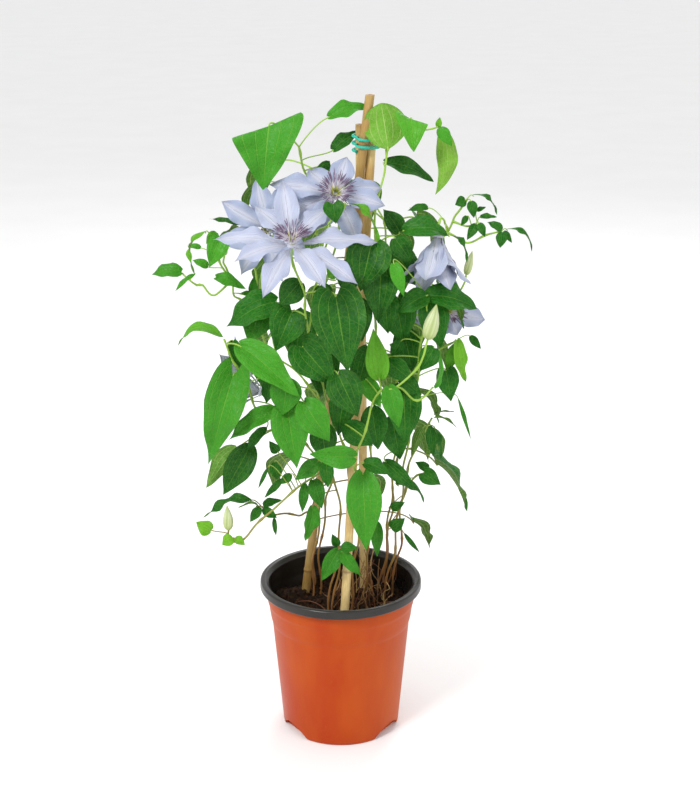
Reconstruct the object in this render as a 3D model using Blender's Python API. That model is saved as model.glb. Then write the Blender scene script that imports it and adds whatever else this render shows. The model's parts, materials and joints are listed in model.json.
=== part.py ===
"""A clematis in bloom, climbing a wigwam of three canes in a plastic nursery pot.

Frame: +Z up, the pot's foot on z = 0, the pot's axis on x = y = 0, the front of the plant towards -Y.
The plant is about 0.59 m tall. Sizes are metres, or millimetres where a row or a name says so.
"""

import math

import bmesh
import bpy
import numpy as np
from mathutils.bvhtree import BVHTree

MM = 0.001
GAP = 0.0003

# The pot: outer radius and height of each bend of its wall, from the foot up.
POT_HEIGHT = 0.146
LIP_RADIUS = 0.075
LIP_DEPTH = 0.008
LIP_MOUTH_RADIUS = 0.0694
COLLAR_RADIUS = 0.0682
COLLAR_FOOT = (0.0642, 0.1075)
BASE_RADIUS = 0.0545
POT_WALL = 0.0018
POT_FLOOR_THICKNESS = 0.002
POT_SIDES = 32
NOTCH_ANGLES = (56, 124, 236, 304)
NOTCH_HALF_WIDTH = 0.0205
NOTCH_HEIGHT = 0.0108

# The potting soil.
SOIL_TOP = 0.118
SOIL_RINGS = 3
SOIL_SIDES = 20
SOIL_LUMPS = 0.0022

# The canes: where each stands in the soil, where it passes the tie, and how high its top is.
CANE_RADIUS = 0.0041
CANE_SIDES = 8
CANE_FOOT = 0.022
CANE_JOINT_SPACING = 0.135
CANE_JOINT_SWELL = 0.0006
CANE_PITH_RADIUS = 0.0014
CANE_PITH_DEPTH = 0.012
TIE_HEIGHT = 0.5486
CANES = {
    "cane_left": ((-0.0340, 0.0250), (0.0202, -0.0038), 0.5900),
    "cane_front": ((0.0030, -0.0450), (0.0268, 0.0034), 0.5680),
    "cane_back": ((0.0220, 0.0440), (0.0172, 0.0054), 0.5640),
}
TIE_RADIUS = 0.0012
TIE_TURNS = 2.4
TIE_PITCH = 0.0062

# The viewpoint from which the places of leaves and stems were read off the reference photograph.
VIEW_DISTANCE = 1.300
VIEW_HEIGHT = 0.7415
VIEW_ASIDE = 0.0086
VIEW_PITCH = math.radians(18.0)
VIEW_FOCAL_PX = 1526.0
VIEW_CENTRE_PX = (350.0, 400.0)

# Stems: the hole in the soil (x, y in mm), then the routes of the stem and its branches.
# A route's points are read from the front: pixels across and down, and mm behind the pot's axis.
# A branch starts on the stem at the point nearest to its first one.
STEM_RADIUS = 0.0021
TWIG_RADIUS = 0.0013
STEM_DEPTH = 0.016
HOLE_GAP = 0.0004
PEDICEL_STRAIGHT = 0.012
STEMS = {
    "shoot_top": ((19, 2), [
        [(368, 570, -2), (369, 500, -16), (372, 430, -32), (374, 350, -38), (375, 290, -36),
         (376.5, 214, -28), (379, 190, -22), (386, 161, -18), (387, 147, -16)],
        [(387, 149, -16), (405, 128, -8), (428, 129, -12), (438, 127, -12)],
    ]),
    "shoot_top_left": ((0, 34), [
        [(347, 545, 36), (352, 470, 34), (346, 400, 36), (333, 340, 30), (322, 260, 20),
         (314, 205, 8), (310, 181, -2), (303.5, 164, -8), (299, 147, -10)],
    ]),
    "shoot_centre": ((1, -33), [
        [(346, 570, -27), (349, 520, -21), (350, 475, -16), (338, 425, -36), (316, 370, -56),
         (307, 345, -60), (307, 317, -68), (303, 292, -74), "bloom_front"],
        [(307, 330, -64), (317, 285, -56), (321, 248, -62), (331, 222, -68), (345, 206, -68)],
        [(312, 312, -52), (330, 270, -30), (338, 235, -26), "bloom_upper"],
    ]),
    "shoot_bud": ((9, -28), [
        [(354, 570, -24), (359, 520, -42), (361, 490, -56), (355, 466, -66),
         (359, 447, -70), (369.5, 413, -72), (383, 389, -72), (394, 386.6, -74), (415, 371, -74),
         (424, 355, -74), "bud_front"],
        [(383, 389, -72), (398, 388, -70), (415, 399, -66), (424, 397, -62), (433, 387, -58)],
    ]),
    "shoot_centre_left": ((-7, -14), [
        [(338, 570, -14), (340, 520, -10), (332, 470, -18), (308, 425, -42), (284, 370, -46),
         (270, 330, -40), (262, 306, -34)],
    ]),
    "shoot_left_mid": ((-27, 14), [
        [(314, 560, 10), (319, 515, 2), (320, 470, -8), (298, 430, -22), (262, 412, -34),
         (246, 385, -44), (230, 352, -50), (224, 339, -50)],
        [(283, 440, -22), (277, 424, -18), "bloom_left"],
    ]),
    "shoot_left_high": ((-30, 37), [
        [(312, 548, 36), (318, 495, 32), (325, 440, 30), (318, 396, 40), (292, 370, 46),
         (268, 345, 44), (248, 307, 26), (233, 294, 4), (231, 284, -8), (227, 268, -14), "bud_left"],
        [(231, 285, -14), (216, 295, -20), (203, 285, -22), (196, 286, -22), (189, 281, -22),
         (182, 273, -20)],
        [(262, 332, 40), (256, 285, 36), (251, 250, 30), (248, 232, 22)],
        [(231, 284, -8), (223, 268, -28), (217, 250, -38), (211, 236, -38)],
        [(259, 310, 40), (262, 280, 40), "bloom_behind"],
        [(315, 512, 33), (298, 514, 12), (278, 515, -8), (262, 507, -14)],
    ]),
    "shoot_left_low": ((-20, 26), [
        [(320, 550, 22), (326, 505, 16), (331, 478, -6), (324, 470, -36), (302, 485, -50),
         (279, 504, -54), (256, 525, -54), (244.5, 538, -52), (237, 542, -50), "bud_low"],
    ]),
    "shoot_front_low": ((-12, -34), [
        [(331, 592, -36), (334, 567, -40), (339, 550, -44)],
    ]),
    "shoot_right_high": ((36, 26), [
        [(388, 540, 26), (396, 460, 26), (404, 380, 18), (414, 310, 4), (424, 266, 6),
         (440, 238, 8), (449, 228, 6), (455, 218, 4), (461, 209, 2), (467, 199, 2)],
        [(446, 232, 7), (469, 241, -2), (486, 236, -4), (502, 231, -4)],
        [(452, 222, 2), (468, 226, -2), (477, 223, -2)],
        [(413, 316, 4), (440, 306, 2), (457, 293, 4), "bud_right"],
        [(448, 229, 6), (444, 220, -12), "bloom_right"],
        [(410, 335, 8), (413, 340, 40), (428, 332, 66), "bloom_side"],
    ]),
    "shoot_right_mid": ((40, 6), [
        [(392, 560, 0), (402, 490, -8), (410, 420, -24), (418, 370, -32), (424, 330, -38),
         (427, 297, -40)],
        [(417, 372, -32), (436, 352, -22), (456, 341, -14)],
    ]),
    "shoot_right_low": ((48, 22), [
        [(400, 545, 22), (402, 500, 16), (410, 465, 6), (422, 435, -2), (432, 418, -6)],
        [(403, 498, 14), (414, 478, -4), (424, 473, -8)],
    ]),
    "shoot_back_left": ((-26, 50), [
        [(314, 540, 58), (319, 470, 66), (318, 400, 66), (316, 340, 60), (322, 270, 52),
         (330, 225, 40)],
    ]),
    "shoot_back_right": ((42, 40), [
        [(388, 530, 50), (396, 430, 58), (394, 340, 58), (390, 270, 48), (384, 220, 36)],
    ]),
}

# Where a leaf's upper side faces, as a direction in the part's frame.
FACES = {
    "F": (0.0, -1.0, 0.25), "FL": (-0.6, -1.0, 0.2), "FR": (0.6, -1.0, 0.2),
    "U": (0.0, -0.35, 1.0), "UF": (0.0, -1.0, 0.8), "UL": (-0.8, -0.4, 0.7),
    "UR": (0.8, -0.4, 0.7), "L": (-1.0, -0.4, 0.1), "R": (1.0, -0.4, 0.1),
    "A": (0.0, 1.0, 0.3), "UA": (0.0, 0.45, 1.0),
}

# Leaf shapes: where the outline swells and how it tapers (two exponents), how far the base
# lobes reach back and how far one corner of the base hangs below the other, as shares of the
# length, and the stations along a coarse blade. The d and e leaves are draped over their
# stalks, so that each shows three corners; the r leaf shows a blade that curls away at its tip.
SHAPES = {
    "h": (0.36, 1.05, 0.16, 0.0, (0.0, 0.07, 0.32, 0.68, 1.0)),
    "o": (0.52, 1.0, 0.06, 0.0, (0.0, 0.12, 0.4, 0.72, 1.0)),
    "l": (0.7, 1.1, 0.0, 0.0, (0.0, 0.2, 0.48, 0.78, 1.0)),
    "s": (0.55, 1.0, 0.03, 0.0, (0.0, 0.2, 0.58, 1.0)),
    "r": (0.75, 0.55, 0.0, 0.0, (0.0, 0.16, 0.5, 0.84, 1.0)),
    "d": (0.14, 0.86, 0.0, 0.2, (0.0, 0.05, 0.3, 0.66, 1.0)),
    "e": (0.14, 0.86, 0.0, -0.24, (0.0, 0.05, 0.3, 0.66, 1.0)),
}
LEAF_MIDRIB_MM = 1.3
LEAF_FOLD = math.radians(12.0)
LEAF_WAVE = 0.035
PETIOLE_RADIUS = 0.00065
STALK_ROOT = 0.6

# Leaves, one row each: base and tip of the blade (pixels), mm behind the pot's axis at both,
# width in mm, facing, arch and sideways bow as shares of the length, and shape.
LEAVES = {
    "shoot_top": [
        (388, 149, 381, 103, -16, -2, 40, "A", 0.12, 0, "r"),
        (396, 254, 420, 288, -36, -34, 28, "F", 0.08, 0, "h"),
        (395, 238, 411, 262, -44, -44, 21, "F", 0.08, 0, "o"),
        (411, 119, 414, 152, -20, -34, 29, "F", 0.1, 0, "e"),
        (386, 163, 434, 182, 0, 6, 17, "UF", 0.14, 0, "o"),
        (439, 128, 452, 146, -14, -18, 12, "F", 0.05, 0, "s"),
        (443, 134, 435, 195, -8, -16, 20, "A", 0.0, 0.14, "o"),
        (438, 127, 440, 117, -12, -12, 6, "F", 0.05, 0, "s"),
        (371, 246, 360, 292, -80, -86, 41, "F", 0.08, 0, "h"),
        (384, 292, 388, 334, -48, -50, 26, "F", 0.08, 0, "o"),
        (381, 268, 378, 324, -66, -72, 34, "F", 0.08, 0, "h"),
        (399, 232, 383, 209, -20, -14, 19, "UF", 0.12, 0, "o"),
    ],
    "shoot_top_left": [
        (269, 126, 263, 190, -30, -44, 62, "F", 0.08, 0, "d"),
        (330, 117, 370, 107, -8, 0, 17, "UF", 0.14, 0, "o"),
        (333.5, 150, 361, 131, 6, 14, 15, "UF", 0.12, 0, "o"),
        (331, 168, 314, 187, -26, -28, 20, "F", 0.08, 0, "h"),
    ],
    "shoot_centre": [
        (336, 297, 348, 373, -86, -94, 49, "F", 0.07, 0, "h"),
        (303, 347, 336, 386, -64, -70, 38, "F", 0.08, 0, "h"),
        (292, 312, 275, 352, -60, -64, 34, "F", 0.08, 0, "h"),
        (352, 262, 345, 296, -60, -66, 26, "F", 0.08, 0, "o"),
        (334, 279, 326, 264, -74, -76, 7, "F", 0.06, 0, "s"),
        (337, 279, 344, 268, -74, -76, 7, "F", 0.06, 0, "s"),
        (338, 374, 358, 417, -66, -74, 34, "F", 0.08, 0, "o"),
        (345, 203, 380, 247, -60, -54, 8, "UR", 0.1, -0.2, "l"),
        (333, 204, 336, 224, -64, -68, 19, "F", 0.06, 0, "h"),
        (300, 282, 279, 306, -66, -66, 24, "F", 0.08, 0, "o"),
        (320, 286, 330, 306, -68, -72, 18, "F", 0.08, 0, "o"),
        (358, 300, 362, 342, -48, -52, 24, "F", 0.08, 0, "o"),
        (324, 352, 320, 398, -40, -44, 32, "F", 0.08, 0, "h"),
        (345, 388, 338, 436, -50, -54, 26, "F", 0.08, 0, "o"),
    ],
    "shoot_bud": [
        (389, 387, 399, 428, -74, -80, 20, "F", 0.07, 0, "o"),
        (366, 380, 381, 408, -62, -68, 17, "F", 0.07, 0, "o"),
        (379, 377, 373, 328, -66, -62, 22, "F", 0.06, 0, "o"),
        (434, 386, 441, 349, -58, -52, 13, "R", 0.05, 0, "o"),
        (354, 457, 309, 454, -84, -88, 22, "F", 0.1, 0, "o"),
        (363, 474, 366, 551, -68, -84, 34, "F", 0.06, 0, "o"),
        (377, 522, 377, 557, -66, -70, 12, "F", 0.06, 0, "s"),
        (364, 463, 390, 474, -62, -60, 16, "UF", 0.12, 0, "o"),
        (346, 425, 373, 446, -60, -60, 24, "F", 0.06, 0, "o"),
        (368, 348, 356, 394, -50, -54, 26, "F", 0.08, 0, "o"),
        (372, 408, 378, 450, -48, -50, 26, "F", 0.08, 0, "o"),
    ],
    "shoot_centre_left": [
        (276, 302, 226, 327, -40, -36, 31, "UF", 0.12, 0, "o"),
        (262, 308, 248, 345, -54, -62, 32, "F", 0.08, 0, "h"),
        (288, 380, 282, 416, -72, -78, 30, "F", 0.08, 0, "o"),
        (288, 412, 297, 469, -76, -84, 35, "F", 0.07, 0, "h"),
        (304, 402, 330, 442, -78, -86, 30, "F", 0.08, 0, "o"),
        (318, 461, 295, 480, -64, -64, 16, "F", 0.08, 0, "o"),
        (305, 482, 302, 513, -46, -48, 10, "F", 0.06, 0, "l"),
        (314, 480, 322, 509, -56, -60, 16, "F", 0.08, 0, "o"),
        (312, 507, 305, 541, -52, -58, 17, "FR", 0.08, 0, "o"),
        (326, 462, 328, 488, -64, -66, 14, "F", 0.08, 0, "o"),
        (300, 318, 296, 362, -30, -34, 34, "F", 0.08, 0, "h"),
        (322, 424, 326, 462, -48, -50, 26, "F", 0.08, 0, "o"),
        (268, 352, 262, 388, -30, -30, 26, "F", 0.08, 0, "o"),
    ],
    "shoot_left_mid": [
        (223, 337, 178, 346, -50, -42, 17, "U", 0.3, 0, "l"),
        (241, 347, 300, 397, -66, -90, 31, "UF", 0.07, 0, "o"),
        (233, 376, 208, 465, -62, -64, 38, "F", 0.07, 0, "h"),
        (273, 410, 228, 441, -62, -62, 18, "UF", 0.12, 0, "o"),
        (250, 447, 223, 495, -38, -42, 28, "F", 0.08, 0, "o"),
        (236, 450, 206, 488, -20, -16, 24, "A", 0.08, 0, "o"),
        (267, 427, 246, 452, -48, -48, 11, "FL", 0.1, 0, "l"),
        (233, 341, 240, 372, -42, -40, 14, "F", 0.06, 0, "o"),
        (273, 378, 266, 405, -50, -50, 15, "FL", 0.06, 0, "o"),
    ],
    "shoot_left_high": [
        (206, 231, 195, 275, -40, -42, 8, "L", 0.24, 0, "l"),
        (216, 232, 206, 244, -40, -42, 9, "F", 0.06, 0, "s"),
        (221, 240, 209, 268, -42, -46, 20, "F", 0.06, 0, "h"),
        (208, 267, 192, 260, -20, -20, 9, "UF", 0.1, 0, "s"),
        (201, 248, 187, 246, -16, -14, 6, "UF", 0.1, 0, "s"),
        (181.5, 272, 151, 275, -20, -14, 15, "UF", 0.15, 0, "o"),
        (216, 277.5, 246, 289, -20, -24, 13, "UF", 0.12, 0, "o"),
        (195, 274, 174, 293, -26, -28, 5, "UF", 0.15, 0, "l"),
        (247, 231, 219, 237, 22, 24, 15, "UA", 0.1, 0, "o"),
        (240, 225, 209, 219, 26, 28, 6, "UF", 0.12, 0, "l"),
        (249, 230, 263, 226, 24, 24, 9, "U", 0.1, 0, "s"),
        (252, 295, 240, 293, -4, -6, 6, "UF", 0.1, 0, "s"),
        (253, 294, 254, 276, 0, 0, 9, "F", 0.06, 0, "s"),
        (252, 500, 203, 518, -14, -10, 13, "U", 0.14, 0, "l"),
        (258, 506, 238, 508, -16, -18, 13, "UA", 0.12, 0, "s"),
        (260, 507, 250, 522, -20, -22, 10, "F", 0.06, 0, "s"),
        (263, 505, 282, 500, -16, -16, 9, "UF", 0.1, 0, "s"),
        (263, 508, 277, 518, -18, -18, 10, "F", 0.1, 0, "s"),
        (274, 517, 276, 536, -14, -14, 5, "F", 0.1, 0, "l"),
    ],
    "shoot_left_low": [
        (211, 530, 196, 522, -52, -52, 16, "F", 0.08, 0, "o"),
        (233, 538, 222, 545, -54, -56, 13, "UF", 0.1, 0, "s"),
        (235, 538, 245, 545, -54, -56, 9, "UF", 0.1, 0, "s"),
        (283, 478, 264, 498, -44, -42, 7, "F", 0.08, 0, "l"),
        (291, 474, 280, 484, -46, -46, 9, "F", 0.08, 0, "s"),
        (275, 462, 277, 480, -40, -40, 12, "F", 0.08, 0, "s"),
        (278, 452, 269, 441, -46, -48, 10, "F", 0.08, 0, "s"),
        (268, 467, 258, 489, -38, -38, 4, "F", 0.1, 0, "l"),
    ],
    "shoot_front_low": [
        (338, 550, 321, 581, -46, -50, 17, "F", 0.08, 0, "o"),
        (342, 552, 361, 576, -48, -50, 13, "F", 0.08, 0, "o"),
        (341, 548, 358, 548, -44, -44, 11, "UF", 0.1, 0, "s"),
        (338, 546, 332, 534, -36, -34, 9, "F", 0.08, 0, "s"),
    ],
    "shoot_right_high": [
        (404, 231, 448, 236, -34, -26, 22, "UF", 0.26, 0, "o"),
        (448, 235, 467, 263, -14, -20, 8, "UR", 0.22, 0, "l"),
        (428, 208, 407, 211, -6, -6, 8, "UF", 0.15, 0, "s"),
        (465, 200, 455, 205, -2, -3, 11, "F", 0.06, 0, "o"),
        (471, 201, 474, 218, -2, -6, 10, "F", 0.06, 0, "s"),
        (477, 211, 486, 207, 0, 0, 5, "UF", 0.06, 0, "s"),
        (472, 195, 497, 215, 2, 0, 7, "UR", 0.24, 0, "l"),
        (467, 216, 461, 226, -4, -6, 6, "F", 0.06, 0, "s"),
        (480, 217, 497, 217, -2, -4, 6, "UF", 0.06, 0, "s"),
        (476, 224, 467, 240, -6, -10, 9, "F", 0.06, 0, "s"),
        (479, 223, 485, 237, -6, -8, 8, "F", 0.06, 0, "s"),
        (502, 230, 487, 222, -4, -2, 9, "UF", 0.06, 0, "s"),
        (502, 232, 500, 248, -6, -8, 11, "F", 0.06, 0, "s"),
        (504, 231, 512, 243, -6, -8, 6, "F", 0.06, 0, "s"),
        (506, 229, 532, 252, -2, 0, 7, "UR", 0.26, 0, "l"),
    ],
    "shoot_right_mid": [
        (427, 296, 477, 309, -44, -32, 27, "UF", 0.15, 0, "o"),
        (394, 264, 404, 297, -50, -56, 13, "F", 0.06, 0, "o"),
        (426, 296, 396, 314, -48, -54, 22, "UF", 0.1, 0, "o"),
        (429, 299, 441, 348, -50, -54, 29, "F", 0.08, 0, "o"),
        (457, 342, 446, 373, -16, -18, 13, "F", 0.08, 0, "l"),
        (457, 341, 466, 382, -18, -22, 15, "FR", 0.1, 0.12, "o"),
        (434, 348, 420, 371, -40, -44, 20, "F", 0.08, 0, "o"),
        (446, 371, 451, 402, -24, -26, 22, "F", 0.08, 0, "h"),
        (458, 398, 471, 440, -24, -24, 4, "F", 0.08, 0, "l"),
        (470, 336, 481, 349, -8, -10, 8, "F", 0.08, 0, "s"),
        (388, 361, 412, 381, -56, -56, 20, "F", 0.08, 0, "o"),
        (402, 378, 421, 395, -46, -48, 17, "F", 0.08, 0, "o"),
        (404, 392, 405, 446, -54, -60, 33, "F", 0.08, 0, "h"),
        (401, 341, 391, 358, -40, -42, 13, "F", 0.08, 0, "s"),
        (396, 300, 404, 346, -16, -18, 34, "F", 0.08, 0, "h"),
        (404, 330, 412, 372, -20, -22, 28, "F", 0.08, 0, "o"),
        (392, 418, 400, 460, -30, -32, 28, "F", 0.08, 0, "o"),
    ],
    "shoot_right_low": [
        (386, 462, 416, 490, -44, -44, 16, "F", 0.08, 0, "o"),
        (397, 485, 424, 503, -26, -22, 11, "U", 0.24, 0, "o"),
        (424, 473, 441, 485, -12, -14, 17, "F", 0.08, 0, "h"),
        (428, 470, 415, 462, -14, -14, 10, "UF", 0.08, 0, "s"),
        (430, 425, 433, 457, -20, -22, 11, "F", 0.06, 0, "l"),
        (435, 428, 441, 459, -12, -10, 6, "FR", 0.08, 0, "l"),
        (424, 426, 411, 456, -8, -10, 11, "A", 0.06, 0, "l"),
        (434, 415, 455, 412, -4, 0, 7, "UA", 0.08, 0, "s"),
        (434, 418, 457, 428, -6, -4, 9, "UA", 0.12, 0, "s"),
        (391, 508, 405, 502, -18, -20, 10, "F", 0.08, 0, "s"),
        (391, 528, 405, 518, -16, -18, 14, "F", 0.08, 0, "s"),
        (404, 533, 420, 553, -14, -16, 5, "F", 0.12, 0, "l"),
    ],
}

# Leaves round the sides and back, placed by a rule: turning by the golden angle, they climb
# their shoot in even steps and hang outwards. Angles are measured from the front (-Y).
GOLDEN_ANGLE = math.radians(137.508)
AROUND = {
    "shoot_back_left": (14, (0.185, 0.505), (118, 248)),
    "shoot_back_right": (14, (0.255, 0.515), (92, 226)),
}
AROUND_CENTRE = (0.006, 0.006)
AROUND_REACH = (0.068, 0.108)
AROUND_LENGTH_MM = (36, 56)
AROUND_DROOP = math.radians(58)

# Blooms: centre (pixels), mm behind the pot's axis, where the bloom faces, petal length and
# width in mm, the turn of its first petal in degrees, and how far the petals fold back.
PETALS = 8
PETAL_SHAPE = (1.3, 1.1, 0.0, 0.0, (0.0, 0.28, 0.56, 0.82, 1.0))
PETAL_THICKNESS_MM = 1.2
PETAL_FOLD = math.radians(14.0)
PETAL_WAVE = 0.012
PETAL_LAYER_RISE = 5.5
PETAL_ROOT_RADIUS = 0.0007
HEART_RADIUS = 0.0054
HEART_HEIGHT = 0.0042
STAMEN_PAIRS = 7
STAMEN_REACH = 0.0125
STAMEN_CORE_RADIUS = 0.0034
BLOOMS = {
    "bloom_front": ((292, 243), -81, (0.0, -0.47, 0.88), 62, 22, 22, -4),
    "bloom_upper": ((335, 194), -43, (0.12, -0.82, 0.56), 44, 22, 75, -6),
    "bloom_behind": ((268, 229), -2, (-0.35, -0.9, 0.25), 46, 21, 110, 4),
    "bloom_right": ((438, 238), -26, (-0.08, -0.28, -0.95), 53, 29, 0, 58),
    "bloom_side": ((446, 312), 50, (0.35, -0.75, 0.56), 40, 24, 10, 2),
    "bloom_left": ((259, 391), -22, (-0.97, 0.1, 0.2), 54, 23, 20, 46),
}

# Blooms whose petals aren't even: each petal's turn in degrees, share of the full length, and
# how many degrees further forward it leans than the others.
UNEVEN_PETALS = {
    "bloom_front": ((9, 1.1, 3), (48, 0.7, 14), (99, 0.92, 38), (133, 0.74, 16), (170, 1.04, 6),
                    (208, 0.8, 0), (248, 0.92, 0), (297, 0.95, 0), (327, 1.0, 0)),
    "bloom_upper": ((12, 0.92, 0), (69, 0.78, 0), (126, 0.72, 0), (168, 1.2, 0), (198, 1.08, 0),
                    (240, 0.76, 0), (292, 0.97, 0), (345, 0.92, 0)),
    "bloom_side": ((-14, 1.0, 0), (34, 0.62, 0), (84, 0.7, 0), (134, 0.8, 0), (184, 0.8, 0),
                   (236, 0.6, 0), (290, 0.52, 0)),
}

# Buds: foot and tip (pixels), mm behind the pot's axis, and width in mm.
BUDS = {
    "bud_front": ((427.8, 339.5), (436.5, 304.5), -74, 13.5),
    "bud_right": ((466.2, 275), (472.3, 251), 4, 7.6),
    "bud_low": ((228.6, 530), (227, 505.5), -50, 9.4),
    "bud_left": ((224.4, 255.5), (225.5, 243), -14, 5.2),
}
BUD_SIDES = 6

# How leaves push each other aside: steps in mm along the line of sight, and of the tip alone.
SHIFTS_MM = (0, -4, 4, -8, 8, -12, 12, -17, 17, -23, 23, -30, 30)
TIP_SHIFTS_MM = (0, -8, 8, -16, 16)
CLEAR_THICKNESS_MM = 2.3
CLEAR_RADIUS = 0.0011

# Colours as sRGB hex, then roughness.
FINISHES = {
    "pot": ("CF5F2B", 0.42), "soil": ("2A1C16", 0.95), "cane": ("CDA86C", 0.6),
    "tie": ("1FB79A", 0.7), "leaf": ("3A8A2A", 0.5), "petal": ("D4D6EC", 0.55),
    "stamen": ("8B6A86", 0.7), "bud": ("EDEBC8", 0.6),
}


def unit(vector):
    return vector / np.linalg.norm(vector)


def seen_at(across, down, behind_mm):
    """The point that the front view shows at this pixel, this many mm behind the pot's axis."""
    cos, sin = math.cos(VIEW_PITCH), math.sin(VIEW_PITCH)
    y = behind_mm * MM
    rise = (VIEW_CENTRE_PX[1] - down) / VIEW_FOCAL_PX
    z = VIEW_HEIGHT + (y + VIEW_DISTANCE) * (rise * cos - sin) / (cos + rise * sin)
    depth = (y + VIEW_DISTANCE) * cos - (z - VIEW_HEIGHT) * sin
    x = VIEW_ASIDE + (across - VIEW_CENTRE_PX[0]) / VIEW_FOCAL_PX * depth
    return np.array((x, y, z))


def smooth_path(points, step):
    """Points about a step apart on a Catmull-Rom curve through the given ones."""
    points = np.asarray(points, float)
    padded = np.vstack((2 * points[0] - points[1], points, 2 * points[-1] - points[-2]))
    stretches = []
    for a, b, c, d in zip(padded, padded[1:], padded[2:], padded[3:]):
        count = max(1, round(np.linalg.norm(c - b) / step))
        t = (np.arange(count) / count)[:, None]
        stretches.append(0.5 * (2 * b + (c - a) * t + (2 * a - 5 * b + 4 * c - d) * t**2
                                + (3 * b - a - 3 * c + d) * t**3))
    return np.vstack(stretches + [points[-1:]])


def tube(path, radii, sides):
    """A closed tube along a path: rings carried from one point to the next by the least turn."""
    path = np.asarray(path, float)
    radii = np.broadcast_to(radii, len(path))
    tangents = np.gradient(path, axis=0)
    tangents /= np.linalg.norm(tangents, axis=1)[:, None]
    side = np.cross(tangents[0], (0.31, 0.77, 0.55))
    turns = np.arange(sides) * math.tau / sides
    rings = []
    for point, tangent, radius in zip(path, tangents, radii):
        side = unit(side - tangent * side.dot(tangent))
        other = np.cross(tangent, side)
        rings.append(point + radius * (np.outer(np.cos(turns), side) + np.outer(np.sin(turns), other)))
    return facing_out(np.vstack(rings), ring_faces(len(path), sides))


def ring_faces(rings, sides):
    """Triangles between rings of equally many points, with both ends closed."""
    faces = []
    for ring in range(rings - 1):
        for side in range(sides):
            a, b = ring * sides + side, ring * sides + (side + 1) % sides
            faces += [(a, b, b + sides), (a, b + sides, a + sides)]
    last = (rings - 1) * sides
    for side in range(1, sides - 1):
        faces += [(0, side + 1, side), (last, last + side, last + side + 1)]
    return faces


def blade_rings(leaf, shapes, thickness, fold, wave):
    """The cross-sections of a thin blade: left edge, ridge above, right edge, ridge below.

    Its half width at t, from 0 at the base to 1 at the tip, follows t to the first exponent
    times 1 - t to the second, scaled to reach half of the given width. A slant moves one edge
    forward and the other back, less and less towards the tip. The rings leave out both ends,
    which come back as points, with the directions ahead and across.
    """
    base, tip, width, facing, arch, bow = leaf
    grow, taper, lobe, slant, stations = shapes
    t = np.array(stations)[1:-1, None]
    along = tip - base
    length = np.linalg.norm(along)
    ahead = along / length
    across = unit(np.cross(ahead, facing))
    up = np.cross(across, ahead)
    swell = 4 * t * (1 - t) * length
    ridge = base + t * along + arch * swell * up + bow * swell * across
    widest = grow / (grow + taper)
    half = 0.5 * width * (t**grow * (1 - t) ** taper) / (widest**grow * (1 - widest) ** taper)
    back = lobe * length * np.clip(1 - t / 0.2, 0, 1) * ahead
    flutter = wave * length * np.sin(2 * math.tau * t) * up
    spread = half * math.cos(fold) * across + slant * length * (1 - t) ** 2 * ahead
    edge = ridge + half * math.sin(fold) * up - back
    rings = (edge - spread - flutter, ridge + up * thickness / 2,
             edge + spread + flutter, ridge - up * thickness / 2)
    return np.stack(rings, axis=1).reshape(-1, 3), base, tip, ahead, across


def turn_with(side, before, after):
    """A direction carried along as a path turns from one direction to another."""
    axis = np.cross(before, after)
    cos = before.dot(after)
    return side * cos + np.cross(axis, side) + axis * axis.dot(side) / max(1 + cos, 0.05)


def stalk_rings(path, ahead, across, radius):
    """Square rings along a stalk, turned so that the last one lines up with the blade."""
    rings = []
    heading, side = ahead, across
    for i in range(len(path) - 1, -1, -1):
        after = path[i + 1] - path[i] if i + 1 < len(path) else ahead
        before = path[i] - path[i - 1] if i else after
        tangent = unit(unit(before) + unit(after))
        side = unit(turn_with(side, heading, tangent))
        heading = tangent
        other = np.cross(side, tangent)
        size = radius * (1 if i else STALK_ROOT)
        rings.append(path[i] + size * np.array((-side, other, side, -other)))
    return np.vstack(rings[::-1])


def leaf_mesh(leaf, shapes, stalk_path, radius, thickness, fold, wave):
    """A leaf or petal as one closed mesh: rings along its stalk, then its blade, then the tip."""
    rings, _, tip, ahead, across = blade_rings(leaf, shapes, thickness, fold, wave)
    stalk = stalk_rings(stalk_path, ahead, across, radius)
    points = np.vstack((stalk, rings, tip))
    return facing_out(points, leaf_faces((len(points) - 1) // 4))


def leaf_faces(rings):
    """Triangles between rings of four points, split alike on both faces of the blade."""
    faces = [(0, 2, 1), (0, 3, 2)]
    for ring in range(rings - 1):
        for side in range(4):
            a, b = 4 * ring + side, 4 * ring + (side + 1) % 4
            if side % 2:
                faces += [(a, b, b + 4), (a, b + 4, a + 4)]
            else:
                faces += [(a, b, a + 4), (b, b + 4, a + 4)]
    last = 4 * (rings - 1)
    return faces + [(last + side, last + (side + 1) % 4, last + 4) for side in range(4)]


def facing_out(points, faces):
    """The mesh with its faces turned to point out, told by the sign of its volume."""
    corners = points[np.array(faces)]
    if np.einsum("ij,ij->i", corners[:, 0], np.cross(corners[:, 1], corners[:, 2])).sum() < 0:
        faces = [face[::-1] for face in faces]
    return points, faces


def nearest(path, point):
    """The place on a stem that a stalk to this point would grow from: near, and rather below."""
    away = np.linalg.norm(path - point, axis=1)
    above = np.clip(path[:, 2] - point[2], 0, None)
    return path[np.argmin(away + 0.6 * above)]


def stalk_path(root, base):
    """The way of a leaf stalk from the stem's middle to the blade, a little arched if long."""
    span = np.linalg.norm(base - root)
    if span < 0.004:
        return [root]
    if span < 0.036:
        return [root, base]
    return [root, (root + base) / 2 + np.array((0, 0, 0.1 * span)), base]


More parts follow.
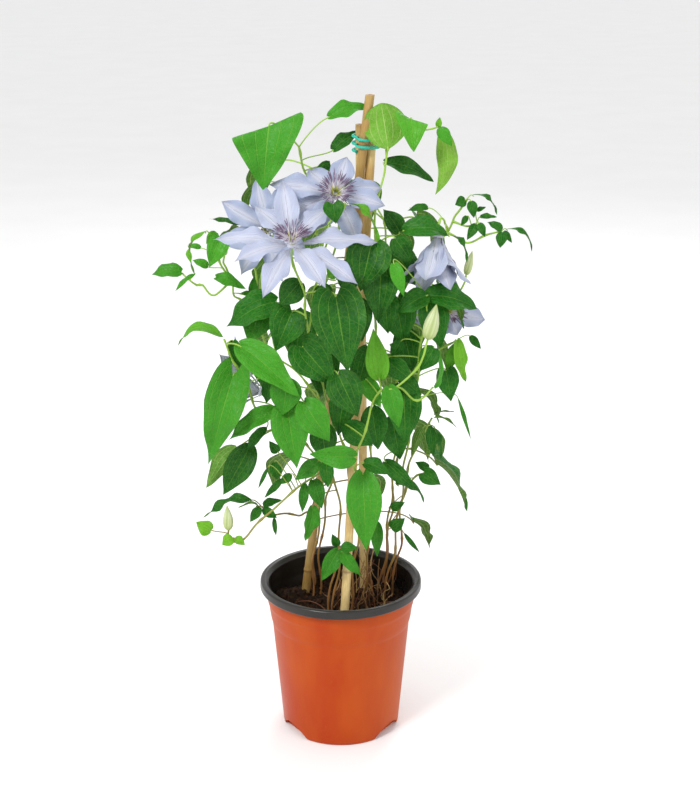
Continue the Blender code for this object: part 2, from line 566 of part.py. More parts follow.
def stem_paths(name):
    """A shoot's stem and branches: up out of its hole in the soil, then along its routes."""
    (x, y), routes = STEMS[name]
    hole = np.array((x, y, 0)) * MM
    start = [hole + (0, 0, SOIL_TOP - STEM_DEPTH), hole + (0, 0, SOIL_TOP + 0.004)]
    trunk = smooth_path(start + route_points(routes[0]), 0.034)
    paths = [trunk]
    for route in routes[1:]:
        points = route_points(route)
        everywhere = np.vstack(paths)
        root = everywhere[np.argmin(np.linalg.norm(everywhere - points[0], axis=1))]
        paths.append(smooth_path([root] + points[1:], 0.026))
    return paths


def route_points(route):
    """A route's points; a name at its end stands for the last bend and the tip under that bloom or bud."""
    points = [seen_at(*point) for point in route if not isinstance(point, str)]
    if route[-1] in BLOOMS:
        pixels, behind, facing = BLOOMS[route[-1]][:3]
        face = unit(np.array(facing))
        tip = seen_at(*pixels, behind) - face * (HEART_HEIGHT + GAP)
        points += [tip - face * PEDICEL_STRAIGHT, tip]
    elif route[-1] in BUDS:
        foot, bud_tip, behind, _ = BUDS[route[-1]]
        ahead = unit(seen_at(*bud_tip, behind) - seen_at(*foot, behind))
        tip = seen_at(*foot, behind) - ahead * GAP
        points += [tip - ahead * PEDICEL_STRAIGHT / 2, tip]
    return points


def along_stems(paths):
    """Points every few mm along the middles of a shoot's tubes."""
    shares = np.arange(8)[:, None, None] / 8
    return np.vstack([(path[:-1] + shares * np.diff(path, axis=0)).reshape(-1, 3) for path in paths])


def stem_tubes(paths):
    tubes = [tube(paths[0], np.linspace(STEM_RADIUS, TWIG_RADIUS, len(paths[0])), 3)]
    return tubes + [tube(path, TWIG_RADIUS, 3) for path in paths[1:]]


def cane_axis(name, height):
    """Where a cane's middle is at this height."""
    foot, knot, _ = CANES[name]
    foot = np.array((*foot, SOIL_TOP))
    knot = np.array((*knot, TIE_HEIGHT))
    return foot + (knot - foot) * (height - SOIL_TOP) / (TIE_HEIGHT - SOIL_TOP)


def cane_mesh(name, number):
    """A bamboo cane: a thin ring stands out at each joint, and the top end has a small hollow."""
    top = CANES[name][2]
    bottom = SOIL_TOP - CANE_FOOT
    rings = [(bottom, CANE_RADIUS)]
    joint = bottom + CANE_JOINT_SPACING * (0.35 + 0.2 * number)
    while joint < top - 0.012:
        rings += [(joint - 0.002, CANE_RADIUS), (joint, CANE_RADIUS + CANE_JOINT_SWELL),
                  (joint + 0.002, CANE_RADIUS)]
        joint += CANE_JOINT_SPACING
    rings += [(top, CANE_RADIUS), (top, CANE_PITH_RADIUS), (top - CANE_PITH_DEPTH, CANE_PITH_RADIUS)]
    turns = np.arange(CANE_SIDES) * math.tau / CANE_SIDES
    circle = np.column_stack((np.cos(turns), np.sin(turns), 0 * turns))
    points = [cane_axis(name, height) + radius * circle for height, radius in rings]
    return facing_out(np.vstack(points), ring_faces(len(rings), CANE_SIDES))


def tie_mesh():
    """Twine wound round the bundle of canes: the way round is the hull of their three circles."""
    count = round(TIE_TURNS * 13)
    clear = CANE_RADIUS + CANE_JOINT_SWELL + TIE_RADIUS + GAP
    path = []
    for i in range(count + 1):
        share = i / count
        height = TIE_HEIGHT + TIE_PITCH * TIE_TURNS * (0.5 - share)
        turn = math.tau * TIE_TURNS * share + 0.9
        outward = np.array((math.cos(turn), math.sin(turn)))
        axes = np.array([cane_axis(name, height)[:2] for name in CANES])
        middle = axes.mean(axis=0)
        reach = max(hull_reach(axis - middle, outward, clear) for axis in axes)
        path.append((*(middle + outward * reach), height))
    return tube(path, TIE_RADIUS, 4)


def hull_reach(offset, outward, radius):
    """How far out along a direction the twine runs to pass round a circle at this offset."""
    aside = offset[0] * outward[1] - offset[1] * outward[0]
    along = offset.dot(outward)
    if abs(aside) < radius:
        return along + math.sqrt(radius**2 - aside**2)
    return along


def bloom_frame(facing):
    """Three directions: where the bloom faces, level across it, and up across it."""
    face = unit(np.array(facing, float))
    first = unit(np.cross((0.0, 0.0, 1.0), face))
    return face, first, np.cross(face, first)


def bloom_meshes(name):
    """A bloom's petals and heart, as meshes to join, and its stamens, as one mesh."""
    (across, down), behind, facing, length, width, turn, cup = BLOOMS[name]
    centre = seen_at(across, down, behind)
    face, first, second = bloom_frame(facing)
    rng = np.random.default_rng(len(name))
    sides = (np.arange(PETALS) + 0.5) * math.tau / PETALS
    around = HEART_RADIUS * (np.outer(np.cos(sides), first) + np.outer(np.sin(sides), second))
    heart = np.vstack((centre - face * HEART_HEIGHT + 0.6 * around, centre + around))
    petals = [facing_out(heart, ring_faces(2, PETALS))]
    even = [(turn + 360 * i / PETALS, rng.uniform(0.94, 1.02), 0) for i in range(PETALS)]
    for i, (degrees, share, forward) in enumerate(UNEVEN_PETALS.get(name, even)):
        angle = math.radians(degrees)
        layer = PETAL_LAYER_RISE if i % 2 else -PETAL_LAYER_RISE
        rise = math.radians(cup + forward + layer + rng.uniform(-2, 2))
        reach = length * MM * share
        out = math.cos(angle) * first + math.sin(angle) * second
        base = centre + out * 0.5 * HEART_RADIUS - face * HEART_HEIGHT * (0.42 if i % 2 else 0.78)
        tip = base + reach * (math.cos(rise) * out + math.sin(rise) * face)
        leaf = (base, tip, width * MM, face, 0.06, rng.uniform(-0.02, 0.02))
        petals.append(leaf_mesh(leaf, PETAL_SHAPE, [base], PETAL_ROOT_RADIUS,
                                PETAL_THICKNESS_MM * MM, PETAL_FOLD, PETAL_WAVE))
    core = STAMEN_CORE_RADIUS * (0.55 if cup > 30 else 1)
    leans = min(82, max(16, cup + 32)), min(88, max(50, cup + 56))
    return petals, crown_mesh(centre + face * GAP, face, first, second, core, *leans)


def crown_mesh(foot, face, first, second, core, low, high):
    """The stamens: two tiers of pointed rays round a core, at a low and a high lean in degrees."""
    turns = np.arange(2 * STAMEN_PAIRS) * math.pi / STAMEN_PAIRS
    around = np.outer(np.cos(turns), first) + np.outer(np.sin(turns), second)
    even = np.arange(2 * STAMEN_PAIRS) % 2 == 0
    rows = [(core, 0.0, 0.0, even), (core, 0.0016, low, even), (core, 0.0032, 0.0, even),
            (0.9 * core, 0.0050, high, ~even), (0.5 * core, 0.0066, 0.0, even)]
    rings = []
    for radius, height, lean, rays in rows:
        lean = math.radians(lean)
        long = rays & (lean > 0)
        reach = np.where(long, core + STAMEN_REACH * math.cos(lean), radius)
        lift = np.where(long, height + STAMEN_REACH * math.sin(lean), height)
        rings.append(foot + around * reach[:, None] + np.outer(lift, face))
    return facing_out(np.vstack(rings), ring_faces(len(rings), 2 * STAMEN_PAIRS))


def bud_mesh(name):
    """A pointed bud: rings that swell to the given width and close to a small tip."""
    foot, tip, behind, width = BUDS[name]
    start, end = seen_at(*foot, behind), seen_at(*tip, behind)
    shares = np.array((0.0, 0.1, 0.3, 0.5, 0.72, 0.9, 1.0))
    radii = width * MM / 2 * np.array((0.42, 0.78, 1.0, 0.93, 0.62, 0.27, 0.08))
    return tube(start + np.outer(shares, end - start), radii, BUD_SIDES)


def seen_leaf(row):
    """A leaf that the front shows, as a function of its shifts along the line of sight."""
    across, down, tip_across, tip_down, behind, tip_behind, width, facing, arch, bow, shape = row

    def placed(shift, tip_shift):
        base = seen_at(across, down, behind + shift)
        tip = seen_at(tip_across, tip_down, tip_behind + shift + tip_shift)
        return (base, tip, width * MM, np.array(FACES[facing]), arch, bow), shape

    return placed


def around_leaf(name, number):
    """A leaf at the side or back: round its shoot by the golden angle, drooping outwards."""
    count, (low, high), (first, last) = AROUND[name]
    share = (number * GOLDEN_ANGLE / math.tau) % 1
    rng = np.random.default_rng(100 * len(name) + number)
    height = low + (high - low) * number / (count - 1)
    out = rng.uniform(*AROUND_REACH)
    length = rng.uniform(*AROUND_LENGTH_MM) * MM

    def placed(shift, tip_shift):
        angle = math.radians(first + (last - first) * share + 1.5 * shift)
        outward = np.array((math.sin(angle), -math.cos(angle), 0))
        droop = AROUND_DROOP + math.radians(tip_shift)
        base = np.array((*AROUND_CENTRE, height)) + outward * out
        tip = base + length * (math.cos(droop) * outward - math.sin(droop) * np.array((0, 0, 1)))
        return (base, tip, 0.72 * length, outward + (0, 0, 0.8), 0.08, 0.0), "h"

    return placed


def leaf_pieces(leaf, shape, paths):
    """A leaf's own mesh, then a fatter blade and stalk that stand for the room it takes."""
    base, tip = leaf[:2]
    ahead = unit(tip - base)
    way = stalk_path(nearest(paths, base), base)
    own = leaf_mesh(leaf, SHAPES[shape], way, PETIOLE_RADIUS, LEAF_MIDRIB_MM * MM, LEAF_FOLD, LEAF_WAVE)
    blade = leaf_mesh(leaf, SHAPES[shape], [base], PETIOLE_RADIUS, CLEAR_THICKNESS_MM * MM, LEAF_FOLD,
                      LEAF_WAVE)
    return own, blade, tube([way[0]] + way[1:] + [base + ahead * 0.001], CLEAR_RADIUS, 3)


class Room:
    """What already stands where: each piece's owner, kind, box and search tree."""

    def __init__(self):
        self.pieces = []

    def add(self, owner, kind, mesh):
        points, faces = mesh
        tree = BVHTree.FromPolygons(points.tolist(), faces)
        self.pieces.append((owner, kind, points.min(axis=0), points.max(axis=0), tree))

    def hits(self, owner, mesh, own_kinds=()):
        """The owners of pieces that a mesh crosses; of its own node's, only these kinds count."""
        points, faces = mesh
        low, high = points.min(axis=0), points.max(axis=0)
        tree = None
        found = set()
        for other, kind, bottom, top, other_tree in self.pieces:
            if other == owner and kind not in own_kinds:
                continue
            if (low > top).any() or (bottom > high).any():
                continue
            tree = tree or BVHTree.FromPolygons(points.tolist(), faces)
            if tree.overlap(other_tree):
                found.add(other)
        return found


def settle(name, placed, paths, room):
    """The nearest place to the wished one where a leaf crosses nothing, or None."""
    for with_blade, with_stalk in ((("blade", "stalk"), ("blade",)), ((), ())):
        for tip_shift in TIP_SHIFTS_MM:
            for shift in SHIFTS_MM:
                leaf, shape = placed(shift, tip_shift)
                own, blade, stalk = leaf_pieces(leaf, shape, paths)
                if blade[0][:, 2].min() < SOIL_TOP + 0.004:
                    continue
                if not room.hits(name, blade, with_blade) and not room.hits(name, stalk, with_stalk):
                    room.add(name, "blade", blade)
                    room.add(name, "stalk", stalk)
                    return own
    return None


def linear(code):
    """An sRGB hex colour as linear light."""
    parts = [int(code[i:i + 2], 16) / 255 for i in (0, 2, 4)]
    return [c / 12.92 if c <= 0.04045 else ((c + 0.055) / 1.055) ** 2.4 for c in parts] + [1.0]


def material(name):
    made = bpy.data.materials.get(name)
    if made:
        return made
    code, roughness = FINISHES[name]
    made = bpy.data.materials.new(name)
    made.use_nodes = True
    shader = made.node_tree.nodes["Principled BSDF"]
    shader.inputs["Base Color"].default_value = linear(code)
    shader.inputs["Roughness"].default_value = roughness
    shader.inputs["Metallic"].default_value = 0.0
    return made


def add_object(name, mesh, finish):
    points, faces = mesh
    data = bpy.data.meshes.new(name)
    data.from_pydata(points.tolist(), [], [tuple(int(i) for i in face) for face in faces])
    data.materials.append(material(finish))
    obj = bpy.data.objects.new(name, data)
    bpy.context.scene.collection.objects.link(obj)
    return obj


def shade_round(obj, sharp_degrees):
    """Smooth shading, with edges sharper than this kept crisp."""
    obj.data.shade_smooth()
    obj.data.set_sharp_from_angle(angle=math.radians(sharp_degrees))


def apply_boolean(obj, operation, helpers, solver="EXACT"):
    """Joins to, or cuts from, an object all helper objects at once, and then removes them."""
    group = bpy.data.collections.new(obj.name + "_helpers")
    for helper in helpers:
        group.objects.link(helper)
    change = obj.modifiers.new("join", "BOOLEAN")
    change.operation = operation
    change.operand_type = "COLLECTION"
    change.collection = group
    change.solver = solver
    graph = bpy.context.evaluated_depsgraph_get()
    result = bpy.data.meshes.new_from_object(obj.evaluated_get(graph))
    obj.modifiers.remove(change)
    obj.data = result
    for helper in helpers:
        bpy.data.objects.remove(helper)
    bpy.data.collections.remove(group)


def keep_largest_body(obj):
    """Leaves out loose scraps and sealed hollows, which joining can make."""
    work = bmesh.new()
    work.from_mesh(obj.data)
    bmesh.ops.triangulate(work, faces=work.faces)
    unseen = set(work.verts)
    bodies = []
    while unseen:
        front = [unseen.pop()]
        body = set(front)
        while front:
            for edge in front.pop().link_edges:
                for vert in edge.verts:
                    if vert in unseen:
                        unseen.remove(vert)
                        body.add(vert)
                        front.append(vert)
        bodies.append(body)
    bodies.sort(key=lambda body: -box_size(body))
    dropped = [vert for body in bodies[1:] for vert in body]
    bmesh.ops.delete(work, geom=dropped, context="VERTS")
    work.to_mesh(obj.data)
    work.free()
    return len(bodies) - 1


def box_size(body):
    points = np.array([vert.co[:] for vert in body])
    return float(np.prod(points.max(axis=0) - points.min(axis=0) + 1e-6))


def fused(name, meshes, finish):
    """One solid node from overlapping pieces, by one Boolean union."""
    obj = add_object(name, meshes[0], finish)
    helpers = [add_object(f"{name}_piece_{i}", mesh, finish) for i, mesh in enumerate(meshes[1:])]
    if helpers:
        apply_boolean(obj, "UNION", helpers, "MANIFOLD")
    scraps = keep_largest_body(obj)
    print(name, "joined from", len(meshes), "pieces:", len(obj.data.polygons), "triangles,", scraps, "scraps")
    return obj


def wall_radius(height):
    """The pot's outer radius at this height on its plain tapered wall."""
    slope = (COLLAR_FOOT[0] - BASE_RADIUS) / COLLAR_FOOT[1]
    return BASE_RADIUS + slope * height


def pot_outline():
    """The pot's outline, turned once: up the outside, over the rolled lip and down the inside."""
    lip_bottom = POT_HEIGHT - LIP_DEPTH
    outside = [(BASE_RADIUS - 0.0015, 0), (BASE_RADIUS, 0.0015), (wall_radius(0.104), 0.104),
               (COLLAR_FOOT[0] + 0.0008, COLLAR_FOOT[1]), (COLLAR_RADIUS - 0.0012, 0.1225),
               (COLLAR_RADIUS, 0.1255), (COLLAR_RADIUS, lip_bottom)]
    lip = [(LIP_RADIUS - 0.0012, lip_bottom), (LIP_RADIUS, lip_bottom + 0.0015),
           (LIP_RADIUS - 0.0012, POT_HEIGHT), (LIP_MOUTH_RADIUS, POT_HEIGHT),
           (COLLAR_RADIUS - POT_WALL, POT_HEIGHT - 0.0035)]
    inside = [(COLLAR_RADIUS - POT_WALL, 0.1245), (wall_radius(0.104) - POT_WALL, 0.1065),
              (wall_radius(0) - POT_WALL, POT_FLOOR_THICKNESS)]
    return outside + lip + inside


def turned(outline, sides):
    """A solid of revolution, closed by flat discs where its outline starts and ends."""
    turns = np.arange(sides) * math.tau / sides
    rings = [np.column_stack((r * np.cos(turns), r * np.sin(turns), z + 0 * turns)) for r, z in outline]
    return facing_out(np.vstack(rings), ring_faces(len(outline), sides))


def make_pot():
    """The pot, with an arched drain opening cut into its foot at each notch angle."""
    pot = add_object("pot", turned(pot_outline(), POT_SIDES), "pot")
    cutters = []
    for degrees in NOTCH_ANGLES:
        angle = math.radians(degrees) - math.pi / 2
        outward = np.array((math.cos(angle), math.sin(angle), 0))
        aside = np.array((-outward[1], outward[0], 0))
        arch = [(math.cos(a), math.sin(a) ** 2) for a in np.linspace(0, math.pi, 9)]
        section = [(1, -0.3)] + arch + [(-1, -0.3)]
        ends = [[outward * reach + aside * NOTCH_HALF_WIDTH * u + np.array((0, 0, NOTCH_HEIGHT * v))
                 for u, v in section] for reach in (0.0475, 0.0600)]
        cutter = add_object("notch_cutter", facing_out(np.vstack(ends), ring_faces(2, len(section))), "pot")
        cutters.append(cutter)
    apply_boolean(pot, "DIFFERENCE", cutters, "MANIFOLD")
    return pot


def make_soil():
    """Lumpy soil that fills the pot up to its collar, with a plain hole for each cane and stem."""
    turns = np.arange(SOIL_SIDES) * math.tau / SOIL_SIDES
    clear = POT_WALL + GAP
    rings = [(wall_radius(0) - clear, POT_FLOOR_THICKNESS + GAP),
             (wall_radius(0.104) - clear, 0.1055), (wall_radius(0.104) - clear + 0.0004, SOIL_TOP - 0.003)]
    top = [(r, SOIL_TOP) for r in np.linspace(wall_radius(0.104) - clear - 0.003, 0.006, SOIL_RINGS)]
    rng = np.random.default_rng(7)
    snug = math.cos(math.pi / POT_SIDES)
    points = []
    for number, (radius, height) in enumerate(rings + top):
        radius *= snug
        ring = np.column_stack((radius * np.cos(turns), radius * np.sin(turns), height + 0 * turns))
        if number >= len(rings):
            ring[:, 2] += SOIL_LUMPS * rng.uniform(-1, 1, SOIL_SIDES)
        points.append(ring)
    faces = ring_faces(len(rings) + len(top), SOIL_SIDES)
    soil = add_object("soil", facing_out(np.vstack(points), faces), "soil")
    drills = []
    for number, name in enumerate(CANES):
        ends = [cane_axis(name, height) for height in (SOIL_TOP - CANE_FOOT - 0.0012, SOIL_TOP + 0.01)]
        hole = (CANE_RADIUS + CANE_JOINT_SWELL + HOLE_GAP) / math.cos(math.pi / 8)
        drills.append(add_object("drill", tube(ends, hole, 8), "soil"))
    for (x, y), _ in STEMS.values():
        ends = [(x * MM, y * MM, SOIL_TOP + up) for up in (-STEM_DEPTH - GAP, 0.01)]
        hole = (STEM_RADIUS + HOLE_GAP) / math.cos(math.pi / 5)
        drills.append(add_object("drill", tube(ends, hole, 5), "soil"))
    apply_boolean(soil, "DIFFERENCE", drills)
    return soil


def main():
    for obj in list(bpy.data.objects):
        bpy.data.objects.remove(obj)
    make_soil()
    shade_round(make_pot(), 38)
    room = Room()
    room.add("pot", "solid", turned(pot_outline(), POT_SIDES))
    for number, name in enumerate(CANES):
        mesh = cane_mesh(name, number)
        room.add(name, "solid", mesh)
        shade_round(add_object(name, mesh, "cane"), 50)
    mesh = tie_mesh()
    room.add("cane_tie", "solid", mesh)
    shade_round(add_object("cane_tie", mesh, "tie"), 120)
    paths = {name: stem_paths(name) for name in STEMS}
    middles = {name: along_stems(paths[name]) for name in STEMS}
    pieces = {name: stem_tubes(paths[name]) for name in STEMS}
    for name, tubes in pieces.items():
        for mesh in tubes:
            for other in room.hits(name, mesh):
                print("stem of", name, "crosses", other)
            room.add(name, "stem", mesh)
    for name in BLOOMS:
        petals, crown = bloom_meshes(name)
        for part, finish, meshes in (("petals", "petal", petals), ("stamens", "stamen", [crown])):
            owner = f"{name}_{part}"
            for mesh in meshes:
                for other in room.hits(owner, mesh):
                    print(owner, "crosses", other)
                room.add(owner, "solid", mesh)
            fused(owner, meshes, finish)
    for name in BUDS:
        mesh = bud_mesh(name)
        for other in room.hits(name, mesh):
            print(name, "crosses", other)
        room.add(name, "solid", mesh)
        add_object(name, mesh, "bud")
    wishes = [(name, seen_leaf(row)) for name, rows in LEAVES.items() for row in rows]
    wishes += [(name, around_leaf(name, i)) for name in AROUND for i in range(AROUND[name][0])]
    for name, placed in wishes:
        found = settle(name, placed, middles[name], room)
        if found:
            pieces[name].append(found)
        else:
            print("no room for a leaf of", name)
    for name, meshes in pieces.items():
        fused(name, meshes, "leaf")


main()
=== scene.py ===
# %% [markdown]
# # A potted clematis in bloom
# A young clematis climbs three bamboo canes that are tied together near the top. This lesson
# dresses its plain solid model: every leaf, petal, cane and pot wall is made again as a fine
# surface in the same place, and gets a material worked out from the real one.
# All lengths are metres, +Z is up, and the front of the plant looks towards -Y.

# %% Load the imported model
import json
import math

import bpy
import numpy as np
from mathutils.kdtree import KDTree
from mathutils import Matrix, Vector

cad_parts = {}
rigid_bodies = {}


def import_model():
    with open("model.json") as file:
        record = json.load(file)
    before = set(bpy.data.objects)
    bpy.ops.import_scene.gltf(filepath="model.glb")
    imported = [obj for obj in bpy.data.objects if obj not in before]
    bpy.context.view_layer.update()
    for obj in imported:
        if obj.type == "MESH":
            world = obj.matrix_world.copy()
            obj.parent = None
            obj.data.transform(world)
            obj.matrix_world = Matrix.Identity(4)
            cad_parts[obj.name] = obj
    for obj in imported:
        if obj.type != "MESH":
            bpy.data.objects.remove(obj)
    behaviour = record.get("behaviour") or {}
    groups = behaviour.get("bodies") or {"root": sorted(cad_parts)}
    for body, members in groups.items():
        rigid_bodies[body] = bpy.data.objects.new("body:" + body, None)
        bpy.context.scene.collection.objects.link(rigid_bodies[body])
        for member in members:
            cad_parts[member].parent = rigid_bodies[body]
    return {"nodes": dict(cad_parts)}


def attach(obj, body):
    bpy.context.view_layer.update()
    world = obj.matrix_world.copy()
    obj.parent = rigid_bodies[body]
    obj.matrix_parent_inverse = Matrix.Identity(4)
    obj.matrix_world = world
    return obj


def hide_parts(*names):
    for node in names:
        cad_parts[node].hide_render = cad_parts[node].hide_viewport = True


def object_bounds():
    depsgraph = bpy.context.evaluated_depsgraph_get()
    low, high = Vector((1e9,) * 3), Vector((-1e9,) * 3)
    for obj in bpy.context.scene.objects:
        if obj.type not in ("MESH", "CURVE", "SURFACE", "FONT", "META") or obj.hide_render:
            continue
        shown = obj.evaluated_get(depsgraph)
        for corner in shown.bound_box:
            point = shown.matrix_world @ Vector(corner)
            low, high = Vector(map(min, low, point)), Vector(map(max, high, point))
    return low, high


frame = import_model()
solid_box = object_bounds()
MM = 0.001
print("solid nodes:", len(frame["nodes"]))

# %% [markdown]
# ## Where things are
# The places of leaves and stems were read off a photograph: pixels across and down, and a
# guess of how many mm behind the pot's axis each one lies. The same pinhole view turns such a
# row into a point in space, so this view comes first.

# %% The view, and a few small helpers
VIEW_DISTANCE = 1.300
VIEW_HEIGHT = 0.7415
VIEW_ASIDE = 0.0086
VIEW_PITCH = math.radians(18.0)
VIEW_FOCAL_PX = 1526.0
VIEW_HEIGHT_PX = 800
VIEW_CENTRE_PX = (350.0, 400.0)


def unit(vector):
    """The vector divided by its own length."""
    return vector / np.linalg.norm(vector)


def seen_at(across, down, behind_mm):
    """The point that the front view shows at this pixel, this many mm behind the pot's axis."""
    cos, sin = math.cos(VIEW_PITCH), math.sin(VIEW_PITCH)
    y = behind_mm * MM
    rise = (VIEW_CENTRE_PX[1] - down) / VIEW_FOCAL_PX
    z = VIEW_HEIGHT + (y + VIEW_DISTANCE) * (rise * cos - sin) / (cos + rise * sin)
    depth = (y + VIEW_DISTANCE) * cos - (z - VIEW_HEIGHT) * sin
    return np.array((VIEW_ASIDE + (across - VIEW_CENTRE_PX[0]) / VIEW_FOCAL_PX * depth, y, z))


def smooth_path(points, step):
    """Points about a step apart on a Catmull-Rom curve: between b and c, a cubic in t whose
    slope at each end is half the way from the point before to the point after."""
    points = np.asarray(points, float)
    padded = np.vstack((2 * points[0] - points[1], points, 2 * points[-1] - points[-2]))
    stretches = []
    for a, b, c, d in zip(padded, padded[1:], padded[2:], padded[3:]):
        count = max(1, round(np.linalg.norm(c - b) / step))
        t = (np.arange(count) / count)[:, None]
        stretches.append(0.5 * (2 * b + (c - a) * t + (2 * a - 5 * b + 4 * c - d) * t**2
                                + (3 * b - a - 3 * c + d) * t**3))
    return np.vstack(stretches + [points[-1:]])


print("the pot's axis meets the ground at", seen_at(340, 728, 0).round(3))

# %% [markdown]
# ## Shells
# Every piece here is made of closed shells: a grid of points in rings, one ring after another,
# with a single point that closes each end. A leaf, a stem, a cane, a petal and the pot differ
# only in the formula that places the grid. Numpy works the whole grid out at once, and one
# function joins many shells into one mesh with their UV maps and colours.

# %% Shells: a grid of rings closed by a point at each end
def shell(rings, start, end, blade=None, millimetres=None, growth=None):
    """A closed shell from an array (rings, sides, 3) and its two end points.

    blade and millimetres are arrays (rings, sides, 2) for two UV maps, and growth is an array
    (rings, sides, 4) for the colour attribute; each end point takes its ring's mean.
    """
    count, sides = rings.shape[:2]
    index = np.arange(count * sides).reshape(count, sides)
    beside = np.roll(index, -1, axis=1)
    quads = np.stack((index[:-1], beside[:-1], beside[1:], index[1:]), axis=-1).reshape(-1, 4)
    first, last = count * sides, count * sides + 1
    tris = np.vstack((np.stack((beside[0], index[0], np.full(sides, first)), axis=-1),
                      np.stack((index[-1], beside[-1], np.full(sides, last)), axis=-1)))
    points = np.vstack((rings.reshape(-1, 3), start, end))
    corners = points[np.vstack((quads[:, :3], quads[:, (0, 2, 3)], tris))]
    if np.einsum("ij,ij->i", corners[:, 0], np.cross(corners[:, 1], corners[:, 2])).sum() < 0:
        quads, tris = quads[:, ::-1], tris[:, ::-1]
    maps = []
    for grid, width in ((blade, 2), (millimetres, 2), (growth, 4)):
        grid = np.zeros((count, sides, width)) if grid is None else grid
        maps.append(np.vstack((grid.reshape(-1, width), grid[0].mean(axis=0), grid[-1].mean(axis=0))))
    return points, quads, tris, maps


def add_piece(name, shells, finish, nodes, sharp=60):
    """One mesh object from shells, dressed, riding on the pot and standing for its solid nodes.

    A point that would lie outside the solid model's box is brought back onto it.
    """
    starts = np.cumsum([0] + [len(s[0]) for s in shells])
    points = np.clip(np.vstack([s[0] for s in shells]), *np.array(solid_box))
    quads = np.vstack([s[1] + at for s, at in zip(shells, starts)])
    tris = np.vstack([s[2] + at for s, at in zip(shells, starts)])
    mesh = bpy.data.meshes.new(name)
    mesh.vertices.add(len(points))
    mesh.vertices.foreach_set("co", points.ravel())
    corners = np.concatenate((quads.ravel(), tris.ravel())).astype(np.int32)
    mesh.loops.add(len(corners))
    mesh.loops.foreach_set("vertex_index", corners)
    begins = np.concatenate((np.arange(len(quads)) * 4, len(quads) * 4 + np.arange(len(tris)) * 3))
    mesh.polygons.add(len(begins))
    mesh.polygons.foreach_set("loop_start", begins.astype(np.int32))
    mesh.update(calc_edges=True)
    mesh.validate()
    for number, label in enumerate(("blade", "millimetres")):
        values = np.vstack([s[3][number] for s in shells])
        layer = mesh.uv_layers.new(name=label)
        layer.uv.foreach_set("vector", values[corners].ravel())
    growth = mesh.attributes.new("growth", "FLOAT_COLOR", "POINT")
    growth.data.foreach_set("color", np.vstack([s[3][2] for s in shells]).ravel())
    mesh.shade_smooth()
    mesh.set_sharp_from_angle(angle=math.radians(sharp))
    mesh.materials.append(finish)
    piece = bpy.data.objects.new(name, mesh)
    bpy.context.scene.collection.objects.link(piece)
    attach(piece, "root")
    if nodes:
        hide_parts(*nodes)
    print(f"{name}: {len(shells)} shells, {2 * len(quads) + len(tris)} triangles")
    return piece


# %% Tubes along a path
def tube(path, radii, sides, tone=(0.0, 0.0)):
    """A round tube: at each point of the path a circle in the plane across it.

    The circle's first direction is the tangent crossed with a fixed direction, the one of a few
    that stays furthest from every tangent, so the tube doesn't twist.
    """
    path = np.asarray(path, float)
    tangents = np.gradient(path, axis=0)
    tangents /= np.linalg.norm(tangents, axis=1)[:, None]
    choices = np.array(((1, 0, 0), (0, 1, 0), (0, 0, 1), (0.7, 0.7, 0), (0.7, 0, 0.7), (0, 0.7, 0.7),
                        (0.7, -0.7, 0), (-0.7, 0, 0.7), (0, -0.7, 0.7)))
    reference = choices[np.argmin(np.abs(tangents @ choices.T).max(axis=0))]
    side = np.cross(tangents, reference)
    side /= np.linalg.norm(side, axis=1)[:, None]
    other = np.cross(tangents, side)
    turns = np.arange(sides) * math.tau / sides
    radii = np.broadcast_to(radii, len(path))[:, None, None]
    rings = path[:, None] + radii * (np.cos(turns)[:, None] * side[:, None]
                                     + np.sin(turns)[:, None] * other[:, None])
    growth = np.ones((len(path), sides, 4))
    growth[..., 0] = np.linspace(0, 1, len(path))[:, None]
    growth[..., 1:3] = tone
    return shell(rings, path[0], path[-1], growth=growth)


def turned(outline, sides, ripple=None):
    """A surface of revolution: each (radius, height) of the outline goes round the Z axis."""
    outline = np.asarray(outline, float)
    turns = np.arange(sides) * math.tau / sides
    radius, height = outline[1:-1, 0, None], outline[1:-1, 1, None]
    rings = np.stack((radius * np.cos(turns), radius * np.sin(turns), height + 0 * turns), axis=-1)
    if ripple is not None:
        rings[..., 2] += ripple(rings[..., 0], rings[..., 1], radius)
    ends = [(0, 0, outline[0, 1]), (0, 0, outline[-1, 1])]
    return shell(rings, *ends)


# %% [markdown]
# ## Materials
# A material starts from what the real thing is. Colours are sRGB codes, as a colour picker
# shows them, and one function turns them into the linear light that the shader counts in.
# One other function adds a node with its settings and links; the rest is the recipe itself.

# %% Colours and nodes
def linear(code):
    """An sRGB hex colour as linear light."""
    parts = [int(code[i:i + 2], 16) / 255 for i in (0, 2, 4)]
    return [c / 12.92 if c <= 0.04045 else ((c + 0.055) / 1.055) ** 2.4 for c in parts] + [1.0]


def feed(node, inputs):
    """Sets a node's inputs, by name or in order.

    Each gets a value, another node's output, or the first output in use of another node.
    """
    for key, value in (inputs if isinstance(inputs, dict) else dict(enumerate(inputs))).items():
        if isinstance(value, bpy.types.Node):
            value = next(output for output in value.outputs if output.enabled)
        if isinstance(value, bpy.types.NodeSocket):
            node.id_data.links.new(value, node.inputs[key])
        else:
            node.inputs[key].default_value = value


def add_node(tree, kind, inputs=(), stops=(), **settings):
    """Adds a shader node with its settings and inputs; stops fill a colour ramp."""
    made = tree.nodes.new("ShaderNode" + kind)
    for key, value in settings.items():
        setattr(made, key, value)
    feed(made, inputs)
    for number, (place, code) in enumerate(stops):
        marks = made.color_ramp.elements
        mark = marks[number] if number < 2 else marks.new(place)
        mark.position = place
        mark.color = linear(code)
    return made


def growth_parts(tree):
    """The red, green and blue shares of the growth colour, as outputs."""
    growth = add_node(tree, "Attribute", attribute_name="growth")
    return add_node(tree, "SeparateColor", [growth]).outputs


